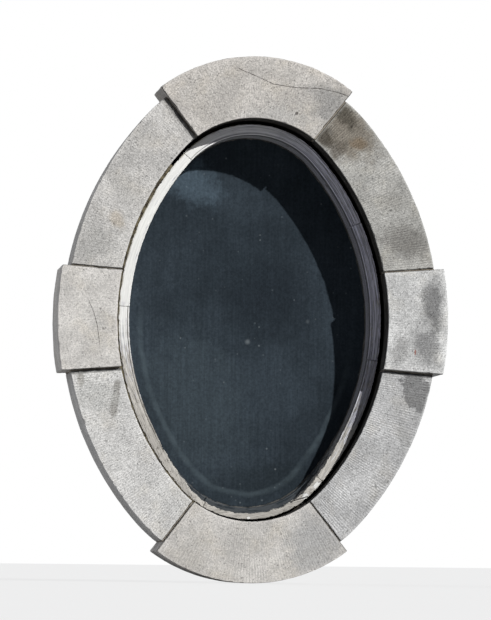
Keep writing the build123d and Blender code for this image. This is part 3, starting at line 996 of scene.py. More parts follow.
def crack_distance(points: np.ndarray, line: Curve, reach: float = 30.0) -> np.ndarray:
    """Signed distance of each point from a crack's line on the face, in metres.

    Args:
        points: Places in millimetres.
        line: The crack's corners as (x, z); empty where the stone is sound.
        reach: Depth to which the crack goes.

    Returns:
        The distance, positive to the left of the line, and large where there is no crack.
    """
    best = np.full(len(points), FAR_FROM_CRACK)
    for (x0, z0), (x1, z1) in zip(line, line[1:]):
        length = math.hypot(x1 - x0, z1 - z0)
        ux, uz = (x1 - x0) / length, (z1 - z0) / length
        dx, dz = points[:, 0] - x0, points[:, 2] - z0
        run = dx * ux + dz * uz
        side = -dx * uz + dz * ux
        past = np.maximum(0.0, np.maximum(-run, run - length))
        away = np.sign(side) * np.hypot(side, past)
        best = np.where(np.abs(away) < np.abs(best), away, best)
    return np.where(points[:, 1] < reach, best, FAR_FROM_CRACK) * MM


class Band(Enum):
    """Kinds of stone, by their width across the band."""

    CURVED = "curved"
    SIDE_KEY = "side key"
    END_KEY = "end key"


@dataclass(frozen=True)
class StoneSpec:
    """What tells one stone from the next."""

    node: str
    band: Band
    finish: Limestone
    crack: Curve = ()
    undulation: float = 0.0016
    pits: float = 0.0009
    pit_share: float = 0.25
    # Widths in millimetres of the painted shadow at the first and last end: wide where a projecting key casts
    # its shadow, thin at the other joints.
    soot: tuple[float, float] = (1.5, 1.5)


STONE_SPECS = [
    StoneSpec("right_keystone", Band.SIDE_KEY, Limestone("right_key", linear(204, 204, 203), 0.45, 0.8, (
        # Painted branch shadows: the three grey patches; the small red patch is a mark in the stone.
        FacePatch(430, 45, 30, 74, 0, (110, 110, 110), 0.85),
        FacePatch(415, -60, 34, 50, 20, (120, 120, 120), 0.8),
        FacePatch(352, -70, 22, 40, -12, (140, 139, 138), 0.6),
        FacePatch(388, -73, 2.6, 9, 0, (150, 92, 78), 0.8, 0.6),
    ), 2.0), undulation=0.0024),
    StoneSpec("upper_right_stone", Band.CURVED, Limestone("upper_right", linear(176, 175, 171), 1.0, 0.8, (
        FacePatch(222, 452, 90, 62, -45, (120, 112, 100), 0.8),
        FacePatch(166, 440, 42, 24, -48, (80, 75, 67), 0.9),
        FacePatch(218, 490, 40, 22, -48, (82, 78, 70), 0.85),
        FacePatch(198, 402, 34, 17, 50, (96, 90, 82), 0.8),
        FacePatch(250, 424, 22, 17, 0, (116, 99, 78), 0.65),
        # Painted branch shadows: these two grey patches at the right of the stone.
        FacePatch(370, 190, 70, 42, -20, (124, 122, 118), 0.8),
        FacePatch(335, 285, 34, 24, 0, (146, 144, 139), 0.5),
    ), 3.0)),
    StoneSpec("top_keystone", Band.END_KEY, Limestone("top_key", linear(190, 186, 181), 0.25, 0.6, (
        FacePatch(195, 505, 80, 52, -45, (143, 142, 140), 0.8),
        FacePatch(60, 480, 90, 30, 0, (172, 171, 169), 0.5),
        FacePatch(99, 493, 4, 4, 0, (70, 66, 62), 0.8, 0.8),
    ), 4.0), ((-40, 598), (0, 581.5), (43, 562), (94, 554.7), (159, 552.6), (203, 542.5), (232, 531.5)),
        undulation=0.0022),
    StoneSpec("upper_left_stone", Band.CURVED, Limestone("upper_left", linear(193, 191, 188), 0.45, 0.75, (
        FacePatch(-380, 180, 60, 40, 0, (162, 161, 158), 0.7),
        FacePatch(-300, 300, 70, 26, -40, (168, 166, 162), 0.5),
        FacePatch(-325, 235, 26, 18, -60, (176, 164, 146), 0.5),
    ), 5.0), soot=(10.0, 2.0)),
    StoneSpec("left_keystone", Band.SIDE_KEY, Limestone(
        "left_key", linear(201, 198, 194), 0.15, 0.7, (), 6.0, 0.2,
    ), ((-392, 40), (-380, 12), (-372, -18), (-366, -58)), undulation=0.0032, pits=0.0018, pit_share=0.5),
    StoneSpec("lower_left_stone", Band.CURVED, Limestone("lower_left", linear(203, 202, 200), 0.8, 0.5, (
        FacePatch(-326, -195, 11, 62, -8, (138, 135, 130), 0.75, 0.5),
        FacePatch(-408, -150, 11, 22, 0, (146, 143, 137), 0.7, 0.5),
        FacePatch(-372, -186, 60, 44, 0, (176, 176, 173), 0.6),
    ), 7.0), soot=(6.5, 1.5)),
    StoneSpec("bottom_keystone", Band.END_KEY, Limestone("bottom_key", linear(196, 193, 189), 0.5, 0.7, (
        FacePatch(150, -528, 70, 85, -38, (158, 158, 158), 0.75),
        FacePatch(-150, -570, 60, 40, 20, (178, 174, 168), 0.5),
    ), 8.0, 0.2), undulation=0.0022),
    StoneSpec("lower_right_stone", Band.CURVED, Limestone("lower_right", linear(185, 185, 185), 1.0, 0.7, (
        # Painted branch shadow: this grey patch.
        FacePatch(392, -166, 40, 66, 24, (118, 118, 118), 0.85, 0.9),
        FacePatch(250, -400, 60, 40, 40, (204, 204, 204), 0.7),
        # Painted branch shadow: this grey patch.
        FacePatch(365, -270, 20, 40, 20, (150, 150, 149), 0.5),
    ), 9.0), soot=(1.5, 6.5)),
]
MORTAR_NODES = [
    "right_key_lower", "right_key_upper", "top_key_right", "top_key_left",
    "left_key_upper", "left_key_lower", "bottom_key_left", "bottom_key_right",
]


def mortar_finish() -> Material:
    """Sandy lime mortar, clouded darker and lighter."""
    finish = Finish("lime_mortar")
    place = finish.place()
    sand = finish.noise(place, 1100.0, 2.0, 0.7)
    cloud = finish.noise(place, 40.0, 4.0, 0.6)
    colour = finish.mix(finish.ramp(cloud, 0.35, 0.65), linear(118, 110, 99), linear(158, 151, 140))
    colour = finish.tint(colour, finish.ramp(sand, 0.3, 0.7, 0.78, 1.15))
    return finish.set(colour, finish.ramp(sand, 0.3, 0.7, 0.86, 0.97), sand, 0.0006, Specular_IOR_Level=0.2)


def settle(piece: Piece, slot: Slot, *nodes: str) -> None:
    """Join a finished piece to the frame.

    Args:
        piece: The piece, with its place in its mesh.
        slot: The record's slot that its finish belongs to; not used.
        *nodes: Nodes that it stands for.
    """
    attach(piece, "root")
    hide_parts(*nodes)
    LOG.info("%s stands for %s, with %d faces", piece.name, ", ".join(nodes), len(piece.data.polygons))


@dataclass(frozen=True)
class OldPaint:
    """Old white oil paint on softwood: sound, flaking or gone, as the timber's own bare value says."""

    name: str
    paint: Colour = linear(232, 232, 229)
    thin_paint: Colour = linear(170, 170, 182)
    timber: Colour = linear(202, 198, 191)
    dark_timber: Colour = linear(92, 84, 76)
    # How much the front of the reveal is darkened as painted shade on the shaded side.
    reveal_dirt: float = 0.35

    def make(self) -> Material:
        """Build the material: grain, cracks, flaked paint, moss and painted shade at its edges, darker
        blue-grey in places, and painted shade on the side in the stones' shadow.
        """
        finish = Finish(self.name)
        grain = finish.kept("grain", vector=True)
        course = finish.kept("course", vector=True)
        bare = finish.kept("bare")
        fibre = finish.fibres(grain, 0.06, 700.0, 4.0, 0.65)
        split = finish.thread(finish.fibres(grain, 0.02, 260.0, 2.0, 0.5, 4.0), 0.004, 0.02)
        patch = finish.ramp(finish.noise(finish.place(), 60.0, 2.0, 0.5), 0.45, 0.6)
        split = finish.times(split, patch)
        chance = finish.ramp(finish.fibres(course, 0.1, 190.0, 5.0, 0.66, 2.0), 0.27, 0.73)
        flaking = finish.minus(bare, chance)
        lost = finish.ramp(flaking, -0.03, 0.03)
        paint = self._worn_paint(finish, course, bare, finish.ramp(flaking, -0.35, 0.0))
        paint = self._dirty_edges(finish, course, paint)
        paint = self._sheltered(finish, course, paint)
        colour = finish.mix(lost, paint, self._wood(finish, grain, fibre, split))
        # Darker blue-grey on the third layer's sill and the face's lower right corner.
        colour = finish.mix(finish.kept("grime"), colour, linear(34, 41, 47))
        line = finish.ramp(finish.calc("ABSOLUTE", finish.kept("crack")), 0.0005, 0.0012, 1.0, 0.0)
        colour = finish.mix(finish.times(line, 0.9), colour, linear(34, 29, 26))
        film = finish.times(finish.minus(1.0, lost), 0.35)
        height = finish.plus(film, finish.times(fibre, finish.times(lost, 0.6)))
        height = finish.minus(height, finish.times(finish.times(split, lost), 0.7))
        height = finish.minus(height, finish.times(line, 1.5))
        rough = finish.ramp(lost, 0.0, 1.0, 0.5, 0.9)
        return finish.set(colour, rough, height, 0.0009, Specular_IOR_Level=0.35)

    def _wood(self, finish: Finish, grain: Socket, fibre: Socket, split: Socket) -> Socket:
        """Weathered softwood with its year rings, fibres and dark splits."""
        ring = finish.fibres(grain, 0.03, 130.0, 3.0, 0.55)
        late = tuple(value * 0.7 for value in self.timber)
        wood = finish.mix(finish.ramp(ring, 0.38, 0.62), self.timber, late)
        wood = finish.tint(wood, finish.ramp(fibre, 0.3, 0.7, 0.72, 1.16))
        return finish.mix(split, wood, self.dark_timber)

    def _worn_paint(self, finish: Finish, course: Socket, bare: Socket, thin: Socket) -> Socket:
        """White paint, thin in streaks, with dark threads where it starts to lift."""
        streak = finish.fibres(course, 0.03, 330.0, 4.0, 0.6, 6.0)
        share = finish.times(thin, finish.ramp(streak, 0.4, 0.6))
        paint = finish.mix(share, self.paint, self.thin_paint)
        paint = finish.tint(paint, finish.ramp(streak, 0.3, 0.7, 0.86, 1.06))
        cloud = finish.fibres(course, 0.3, 45.0, 5.0, 0.65)
        paint = finish.tint(paint, finish.ramp(cloud, 0.35, 0.75, 1.0, 0.88))
        thread = finish.thread(finish.fibres(course, 0.02, 230.0, 2.0, 0.5, 9.0), 0.006, 0.03)
        thread = finish.times(thread, finish.ramp(bare, 0.08, 0.3))
        return finish.mix(finish.times(thread, 0.75), paint, linear(70, 66, 64))

    @staticmethod
    def _dirty_edges(finish: Finish, course: Socket, paint: Socket) -> Socket:
        """Paint with moss beside the stone, in a band that also stands for the shade of the gap, and painted
        shade in the quirk.
        """
        _, offset, _ = finish.parts(course)
        # Moss beside the stone, in a band that also stands for the shade of the gap.
        patchy_edge = finish.ramp(finish.fibres(course, 0.4, 60.0, 4.0, 0.6, 8.0), 0.42, 0.58)
        moss_and_gap_shade = finish.times(finish.ramp(offset, -0.0135, -0.009), patchy_edge)
        paint = finish.mix(finish.times(moss_and_gap_shade, 0.8), paint, linear(122, 113, 82))
        # Painted shade: the quirk's groove darkened.
        quirk = finish.times(finish.ramp(finish.kept("quirk"), 0.2, 0.8), 0.5)
        return finish.mix(quirk, paint, linear(64, 60, 58))

    def _sheltered(self, finish: Finish, course: Socket, paint: Socket) -> Socket:
        """Paint on the side that rain doesn't wash, in the stones' shadow: streaked and scratched, with a
        painted blue-grey shade tint and painted shade at the front of the reveal.
        """
        _, offset, depth = finish.parts(course)
        lee = finish.kept("lee")
        # Painted shade: a cool blue-grey tint on the right and top, where the stones' shadow falls.
        paint = finish.mix(finish.times(lee, 0.55), paint, linear(208, 208, 232))
        streak = finish.minus(finish.fibres(course, 0.012, 380.0, 3.0, 0.7, 12.0), 0.5)
        streak = finish.times(streak, finish.times(lee, 5.0))
        paint = finish.tint(paint, finish.calc("MAXIMUM", finish.plus(1.0, streak), 0.2))
        patch = finish.ramp(finish.fibres(course, 0.2, 50.0, 2.0, 0.5, 16.0), 0.4, 0.55)
        scratch = finish.ramp(finish.fibres(course, 0.03, 520.0, 2.0, 0.6, 14.0), 0.55, 0.6)
        scratch = finish.times(scratch, finish.times(patch, lee))
        paint = finish.mix(finish.times(scratch, 0.85), paint, linear(40, 38, 38))
        # Painted shade: the front of the reveal darkened on the shaded side.
        reveal = finish.ramp(offset, -0.0335, -0.0325, 1.0, 0.0)
        reveal = finish.times(reveal, finish.ramp(depth, 0.0, 0.004))
        reveal = finish.times(reveal, finish.ramp(lee, 0.0, 0.3))
        return finish.tint(paint, finish.minus(1.0, finish.times(reveal, self.reveal_dirt)))


@dataclass(frozen=True)
class TimberLayer:
    """One timber layer of the ring: its joints, its section and how it is worn."""

    name: str
    joints: tuple[tuple[str, float], ...]
    inner: float
    front: float
    back: float
    step: float
    worn: bool = False
    moulded: bool = False
    fresh: float = 1.0


SEEN_JOINTS = (("top", 23.5), ("upper_left", 137.7), ("lower_left", 176.9),
               ("bottom", 240.7), ("lower_right", 320.5), ("right", 351.1))
STAGGERED_JOINTS = (("upper_right", 5.0), ("upper_left", 90.0), ("left", 163.0),
                    ("lower_left", 198.0), ("lower_right", 275.0), ("right", 340.0))
WORN_DEPTHS = (
    (203.0, -3.0), (212.0, 3.5), (222.0, 7.5), (234.0, 12.0), (248.0, 13.0), (262.0, 12.5),
    (274.0, 11.5), (288.0, 12.0), (302.0, 11.5), (314.0, 9.0), (326.0, 4.5), (337.0, -3.0),
)
BARENESS = (
    (0.0, 0.28), (23.0, 0.24), (60.0, 0.13), (90.0, 0.08), (125.0, 0.05), (150.0, 0.02), (172.0, 0.03),
    (181.0, 0.12), (186.0, 0.36), (192.0, 0.62), (200.0, 0.86), (214.0, 1.02), (225.0, 1.05), (250.0, 0.97),
    (275.0, 1.05), (310.0, 1.02), (322.0, 0.8), (335.0, 0.5), (348.0, 0.36), (360.0, 0.28),
)
# Patches of paint left on the bare sill: X, Z and radius
PAINT_REMNANTS = ((138.5, -419.0, 8.5), (166.0, -394.0, 9.0), (1.5, -473.0, 4.5), (31.0, -474.0, 2.5))
# Shares by normal: how much the side that rain doesn't wash, in the stones' shadow, is worn and given painted
# shade, how far the sill has settled, how much darker blue-grey the third layer's sill and the face's lower
# right corner are, and how chipped the face's inner edge is at the left
LEE_AND_SHADE = (
    (0.0, 1.0), (40.0, 1.0), (75.0, 0.45), (112.0, 0.35), (130.0, 0.0), (325.0, 0.0), (345.0, 1.0),
    (360.0, 1.0),
)
SETTLED = ((212.0, 0.0), (246.0, 1.0), (294.0, 1.0), (328.0, 0.0))
DARKENED_SILL = ((196.0, 0.0), (216.0, 1.0), (322.0, 1.0), (340.0, 0.0))
DARKENED_CORNER = ((328.0, 0.0), (338.0, 0.4), (350.0, 0.35), (357.0, 0.0))
CHIPPED_LEFT = ((128.0, 0.0), (140.0, 1.0), (185.0, 1.0), (205.0, 0.0))


def by_normal(normal: np.ndarray, curve: Curve) -> np.ndarray:
    """Value of a curve of (normal, value) pairs at each normal."""
    return np.interp(np.mod(normal, FULL_TURN), *np.array(curve).T)


def square_ends(first: float, last: float) -> Callable[[np.ndarray], Pair]:
    """Function that gives a block's first and last normal, the same at every offset."""
    return lambda offset: (np.full(len(offset), first), np.full(len(offset), last))


@dataclass
class TimberRing:
    """The ring of four timber layers, in segments, with the screws through them and into the stones."""

    oval: Oval = field(default_factory=Oval)
    outer: float = -8.5
    inner: float = -34.0
    rebate_edge: float = -24.0
    face_depth: float = 100.0
    layer_thickness: float = 49.3
    glazing_layer_thickness: float = 28.0
    butt_gap: float = 0.8
    bead_width: float = 4.0
    quirk_width: float = 1.5
    quirk_depth: float = 3.0
    split_start: float = 296.7
    split_end: float = 310.6
    sill_drop: float = 2.8
    torn_width: float = 2.6
    lip_width: float = 2.2
    arris: float = 1.0
    screw_bite: float = 25.0
    fixing_normals: tuple[float, ...] = (35.0, 62.0, 118.0, 152.0, 208.0, 242.0, 298.0, 332.0)
    fixing_depth: float = 15.0
    fixing_sink: float = 4.5

    def layers(self) -> list[TimberLayer]:
        """The four layers from the face to the back."""
        second = self.face_depth + self.layer_thickness
        third = second + self.layer_thickness
        shoulder = third + self.layer_thickness
        return [
            TimberLayer("face_ring", SEEN_JOINTS, self.inner, self.face_depth, second, 2.0, True, True),
            TimberLayer("second_ring", STAGGERED_JOINTS, self.inner, second, third, 4.0, True, fresh=0.8),
            TimberLayer("third_ring", SEEN_JOINTS, self.inner, third, shoulder, 6.0, fresh=0.4),
            TimberLayer("glazing_ring", STAGGERED_JOINTS, self.rebate_edge, shoulder,
                        shoulder + self.glazing_layer_thickness, 6.0, fresh=0.25),
        ]

    def build(self, eroded: Tree, fasteners: Tree) -> None:
        """Build and dress every segment and every screw.

        Args:
            eroded: The tree that erodes timber.
            fasteners: The tree that sets screws.
        """
        face = OldPaint("flaking_white_paint", reveal_dirt=0.8).make()
        behind = OldPaint("sheltered_white_paint").make()
        room = OldPaint("room_side_paint", linear(222, 217, 203), linear(190, 184, 168)).make()
        for layer in self.layers():
            finish = {"glazing_ring": room, "face_ring": face}.get(layer.name, behind)
            slot = Slot.ROOM_SIDE if layer.name == "glazing_ring" else Slot.PAINTED
            pairs = zip(layer.joints, layer.joints[1:] + layer.joints[:1])
            for number, ((place, start), (_, end)) in enumerate(pairs):
                end += 360.0 if end <= start else 0.0
                self._segment(layer, place, start, end, number, finish, slot, eroded)
        self._screws(fasteners)

    def _segment(self, layer: TimberLayer, place: str, start: float, end: float, number: int,
                 finish: Material, slot: Slot, eroded: Tree) -> None:
        """One segment between two butt joints."""
        middle = (layer.inner + self.outer) / 2
        gaps = [self.oval.turn_of(self.butt_gap / 2, normal, middle) for normal in (start, end)]
        ends = square_ends(start + gaps[0], end - gaps[1])
        skin = Skin(self.oval, ends, layer.inner, self.outer, layer.front, layer.back, step=layer.step,
                    depth_step=5.0, fine=(0.0, 0.5, 1.1, 2.0, 3.4), offsets=self._lattice(layer))
        near = np.exp(-(skin.edge_distance / 2.0) ** 2)
        front_side = skin.depth <= layer.front + 1e-6
        square_offset = skin.offset.copy()
        skin.ease(self.arris * (1 + 0.3 * wobble(skin.along, 60.0, number + 3)))
        gone, bare = self._weather(skin, layer, number)
        sunk = np.zeros(len(gone))
        if layer.moulded:
            sunk = self._mould(skin, square_offset, front_side, gone, place)
        course = np.stack([skin.along, skin.offset, skin.depth - layer.front], axis=1)
        skin.offset = skin.offset + gone * (self.outer - skin.offset) / (self.outer - layer.inner)
        if layer.moulded:
            skin.offset = skin.offset + self._settled(skin) - self._ragged_edge(skin, number)
        points = skin.bend()
        crack = np.full(len(points), FAR_FROM_CRACK * MM)
        if layer.moulded and place == "bottom":
            crack = self._split(points)
        values = {
            "course": course * MM, "arris": near, "bare": self._painted_over(layer, points, bare),
            "crack": crack, "lee": by_normal(skin.normal, LEE_AND_SHADE), "grime": self._grime(layer, skin),
            "quirk": sunk / self.quirk_depth, "grain": self._grain(points, start, end, number),
        }
        piece = mesh_piece(f"timber_{layer.name}_{place}", points, skin.quads, values)
        Shaper.run(piece, eroded, finish, Erosion(seed=number + 5.5 * layer.step))
        settle(piece, slot, f"{layer.name}_{place}")

    @staticmethod
    def _painted_over(layer: TimberLayer, points: np.ndarray, bare: np.ndarray) -> np.ndarray:
        """How bare each point is, less where a patch of paint is left on a worn layer."""
        if layer.worn:
            for x, z, radius in PAINT_REMNANTS:
                away = np.hypot(points[:, 0] - x, points[:, 2] - z) / radius
                bare = bare - 1.2 * np.exp(-away**4)
        return bare

    @staticmethod
    def _grime(layer: TimberLayer, skin: Skin) -> np.ndarray:
        """Share of darker blue-grey at each point of a layer."""
        curve = {"third_ring": DARKENED_SILL, "face_ring": DARKENED_CORNER}.get(layer.name)
        return by_normal(skin.normal, curve) if curve else np.zeros(len(skin.along))

    def _settled(self, skin: Skin) -> np.ndarray:
        """How far the rotten sill has sunk towards the stone at each point."""
        return self.sill_drop * by_normal(skin.normal, SETTLED)

    def _ragged_edge(self, skin: Skin, number: int) -> np.ndarray:
        """How much has flaked off the outer arris of a face segment, less what has at the inner one."""
        close = np.clip((skin.offset - self.outer + self.torn_width) / self.torn_width, 0.0, 1.0)
        front = np.clip((self.face_depth + 9.0 - skin.depth) / 6.0, 0.0, 1.0)
        torn = 1.1 * wobble(skin.along, 31.0, number + 51) + 0.9 * wobble(skin.along, 8.0, number + 61)
        lip = np.clip((self.inner + self.lip_width - skin.offset) / self.lip_width, 0.0, 1.0)
        left = by_normal(skin.normal, CHIPPED_LEFT)
        chipped = 0.7 * wobble(skin.along, 23.0, number + 71) + 0.8 * wobble(skin.along, 7.0, number + 81)
        return (np.maximum(0.0, torn) * close - np.maximum(0.0, chipped) * lip * left) * front

    def _lattice(self, layer: TimberLayer) -> np.ndarray:
        """Offsets at which the lattice has lines: at the bead and its quirk where the layer is moulded."""
        if not layer.moulded:
            return graded(self.outer - layer.inner, 3.0, (0.0, 0.6, 1.4, 2.6)) + layer.inner
        quirk = self.bead_width + self.quirk_width
        near = [0.0, 0.5, 1.1, 1.9, 2.7, 3.3, 3.7, 3.95, 4.05, 4.8, quirk - 0.05, quirk + 0.05, quirk + 0.5]
        far = [value for value in np.arange(quirk + 2.0, self.outer - layer.inner - 3.0, 1.7)]
        return np.array(near + far + [22.9, 24.1, 25.0, self.outer - layer.inner]) + layer.inner

    def _weather(self, skin: Skin, layer: TimberLayer, number: int) -> Pair:
        """How much of the inner edge is gone at each point, and how bare the timber is there."""
        bare = by_normal(skin.normal, BARENESS) * layer.fresh
        bare = bare + 0.07 * wobble(skin.along, 70.0, number + 21)
        gone = np.zeros(len(bare))
        if layer.worn:
            gone = np.maximum(0.0, by_normal(skin.normal, WORN_DEPTHS))
            ragged = 1.6 * wobble(skin.along, 42.0, number + 31)
            ragged = ragged + 0.7 * wobble(skin.along + skin.depth, 11.0, number)
            gone = np.maximum(0.0, gone + ragged * np.clip(gone / 4.0, 0.0, 1.0))
            if not layer.moulded:
                gone = gone + self._settled(skin)
        return gone, bare

    def _mould(self, skin: Skin, offset: np.ndarray, front: np.ndarray, gone: np.ndarray, place: str
               ) -> np.ndarray:
        """Sink the quirk beside the bead, filled with paint in one segment and lost where the edge is rotten.

        Args:
            skin: The segment's skin.
            offset: Offset of each point before its arrises were rounded.
            front: Which points lie on the face.
            gone: How much of the inner edge is gone at each point.
            place: The segment's place in the ring.

        Returns:
            How deep each point was sunk, in millimetres.
        """
        quirk = self.bead_width + self.quirk_width
        run = [0.0, 2.6, 3.5, 3.95, 4.05, quirk - 0.05, quirk + 0.05, quirk + 0.5, 30.0]
        sunk = [0.0, 0.0, 0.5, 1.2, self.quirk_depth, self.quirk_depth, 0.3, 0.0, 0.0]
        depth = np.interp(offset - self.inner, run, sunk)
        depth *= np.clip(1 - gone / 3.0, 0.0, 1.0) * (0.12 if place == "upper_left" else 1.0)
        sunk = np.where(front, depth, 0.0)
        skin.depth = skin.depth + sunk
        return sunk

    def _split(self, points: np.ndarray) -> np.ndarray:
        """Distance from the long split across the sill, in metres, and the hollow along it."""
        inner = self.oval.point(np.array([self.split_start]), np.array([self.rebate_edge]))
        outer = self.oval.point(np.array([self.split_end]), np.array([self.outer]))
        line = ((float(inner[0][0]), float(inner[1][0])), (float(outer[0][0]), float(outer[1][0])))
        near = points.copy()
        near[:, 1] = 0.0
        distance = crack_distance(near, line)
        front = points[:, 1] < self.face_depth + 14.0
        points[:, 1] += np.where(front, 2.5 * np.exp(-(distance / MM / 1.2) ** 2), 0.0)
        return np.where(front, distance, 1.0)

    def _grain(self, points: np.ndarray, start: float, end: float, number: int) -> np.ndarray:
        """Places along, through and across a segment's own board, in metres."""
        ends = self.oval.point(np.array([start, end]), np.array([self.inner, self.inner]))
        turn = math.atan2(ends[1][1] - ends[1][0], ends[0][1] - ends[0][0])
        x, z = points[:, 0], points[:, 2]
        along = x * math.cos(turn) + z * math.sin(turn)
        across = -x * math.sin(turn) + z * math.cos(turn)
        return np.stack([along + 900.0 * number, points[:, 1], across], axis=1) * MM

    def _screws(self, fasteners: Tree) -> None:
        """Every screw of the ring, set on points by the fastener tree."""
        finish = steel_finish()
        middle = (self.outer + self.rebate_edge) / 2
        for layer in self.layers()[1:]:
            shares = (0.3, 0.7) if layer.joints is SEEN_JOINTS else (0.25, 0.75)
            starts = [normal for _, normal in layer.joints]
            pairs = zip(starts, starts[1:] + [starts[0] + FULL_TURN])
            normals = np.array([a + share * (b - a) for a, b in pairs for share in shares])
            places = self.oval.places(normals, middle, layer.back)
            axes = np.tile([0.0, -1.0, 0.0], (len(places), 1))
            screw = Fastener(length=(layer.back - layer.front + self.screw_bite) * MM)
            piece = fasteners_piece(f"screws_{layer.name}", places, axes, fasteners, finish, screw)
            settle(piece, Slot.STEEL, f"{layer.name}_screws")
        normals = np.array(self.fixing_normals)
        gone = np.maximum(0.0, by_normal(normals, WORN_DEPTHS))
        heads = self.inner + np.where(gone > 0.0, gone + self.fixing_sink, 0.0)
        places = self.oval.places(normals, heads, self.face_depth + self.layer_thickness + self.fixing_depth)
        axes = self.oval.outward(normals)
        screw = Fastener(head_radius=0.005, head_height=0.003, shank_radius=0.0025, length=0.08)
        piece = fasteners_piece("screws_into_stone", places, axes, fasteners, finish, screw)
        settle(piece, Slot.STEEL, "fixing_screws")


def fasteners_piece(name: str, places: np.ndarray, axes: np.ndarray, tree: Tree, finish: Material,
                    sizes: Fastener) -> Piece:
    """Set one fastener on each place.

    Args:
        name: Name of the piece.
        places: Where each head's flat is, in millimetres.
        axes: Direction in which each one goes in.
        tree: The fastener tree.
        finish: The material.
        sizes: Values of the tree's inputs.

    Returns:
        One piece with all of them.
    """
    turn = np.random.default_rng(len(name)).uniform(0, math.pi, len(places))
    piece = mesh_piece(name, places, np.zeros((0, 4), int), {"axis": axes, "turn": turn})
    return Shaper.run(piece, tree, finish, sizes)


def steel_finish() -> Material:
    """Old steel, brown with rust between duller grey patches."""
    finish = Finish("rusted_steel")
    place = finish.place()
    patch = finish.ramp(finish.noise(place, 420.0, 5.0, 0.65), 0.42, 0.62)
    rust = finish.mix(finish.ramp(finish.noise(place, 1500.0, 3.0, 0.6), 0.35, 0.65),
                      linear(86, 52, 34), linear(134, 84, 54))
    colour = finish.mix(patch, linear(112, 108, 104), rust)
    return finish.set(colour, finish.ramp(patch, 0.0, 1.0, 0.45, 0.88), patch, 0.0003, Metallic=0.35)


def iron_finish() -> Material:
    """Forged iron, dark and rusty."""
    finish = Finish("forged_iron")
    place = finish.place()
    scale = finish.noise(place, 190.0, 5.0, 0.7)
    colour = finish.mix(finish.ramp(scale, 0.4, 0.62), linear(52, 46, 43), linear(108, 64, 42))
    return finish.set(colour, finish.ramp(scale, 0.4, 0.6, 0.6, 0.9), scale, 0.0008, Metallic=0.3)


def lead_finish() -> Material:
    """Poured lead with a pale dull skin."""
    finish = Finish("poured_lead")
    place = finish.place()
    skin = finish.noise(place, 70.0, 5.0, 0.6)
    colour = finish.mix(finish.ramp(skin, 0.36, 0.64), linear(98, 102, 108), linear(142, 145, 149))
    return finish.set(colour, finish.ramp(skin, 0.3, 0.7, 0.42, 0.68), skin, 0.0008, Metallic=0.6)


def bare_timber_finish() -> Material:
    """Softwood of the plugs, packers and blocks, darkened to paint the shade of the gap where the packers
    show.
    """
    finish = Finish("bare_softwood")
    place = finish.place()
    rings = finish.noise(finish.stretch(place, (1.0, 0.08, 1.0)), 300.0, 4.0, 0.6)
    fibre = finish.noise(finish.stretch(place, (1.0, 0.05, 1.0)), 1400.0, 3.0, 0.6)
    # Painted shade: dark brown so that the packers in the gap read as shaded.
    colour = finish.mix(finish.ramp(rings, 0.38, 0.62), linear(76, 66, 55), linear(50, 43, 36))
    colour = finish.tint(colour, finish.ramp(fibre, 0.3, 0.7, 0.85, 1.1))
    return finish.set(colour, 0.78, fibre, 0.0004, Specular_IOR_Level=0.3)


def putty_finish() -> Material:
    """Old linseed putty, grey with dirt and finely cracked."""
    finish = Finish("old_putty")
    place = finish.place()
    cloud = finish.noise(place, 60.0, 5.0, 0.65)
    colour = finish.mix(finish.ramp(cloud, 0.35, 0.65), linear(58, 58, 56), linear(92, 91, 88))
    cell, _ = finish.cells(place, 260.0)
    return finish.set(colour, 0.8, finish.plus(finish.times(cell, 0.3), cloud), 0.0007,
                      Specular_IOR_Level=0.3)


def filler_finish() -> Material:
    """Lime filler between stone and timber, pale lime darkened to paint the shade of the open gap, with
    yellow-green and grey patches.
    """
    finish = Finish("stained_filler")
    place = finish.place()
    cloud = finish.noise(place, 50.0, 5.0, 0.65)
    # Painted shade: the filler's colours are dark so that the strip reads as the shaded gap.
    colour = finish.mix(finish.ramp(cloud, 0.4, 0.6), linear(112, 104, 84), linear(58, 53, 44))
    grit = finish.noise(place, 900.0, 2.0, 0.7)
    colour = finish.tint(colour, finish.ramp(grit, 0.3, 0.7, 0.85, 1.08))
    return finish.set(colour, 0.92, finish.plus(cloud, finish.times(grit, 0.4)), 0.001,
                      Specular_IOR_Level=0.2)


def hemp_finish() -> Material:
    """Tarred hemp, dark brown, with fibres across the roll."""
    finish = Finish("tarred_hemp")
    place = finish.place()
    fibre = finish.noise(place, 700.0, 4.0, 0.7)
    cloud = finish.noise(place, 50.0, 4.0, 0.6)
    colour = finish.mix(finish.ramp(cloud, 0.35, 0.65), linear(34, 29, 24), linear(58, 48, 38))
    colour = finish.tint(colour, finish.ramp(fibre, 0.3, 0.7, 0.6, 1.3))
    rough = finish.ramp(cloud, 0.3, 0.7, 0.75, 0.92)
    return finish.set(colour, rough, fibre, 0.0012, Specular_IOR_Level=0.25)


# Soft patches in the pane's film of dust
GLASS_PATCHES = (
    FacePatch(-140, 345, 95, 55, -35, (80, 94, 105), 0.6),
    FacePatch(-120, -190, 130, 190, 20, (60, 69, 75), 0.6),
    FacePatch(60, 60, 110, 90, 0, (36, 42, 48), 0.7),
    FacePatch(40, -380, 150, 45, 12, (39, 46, 51), 0.7),
)


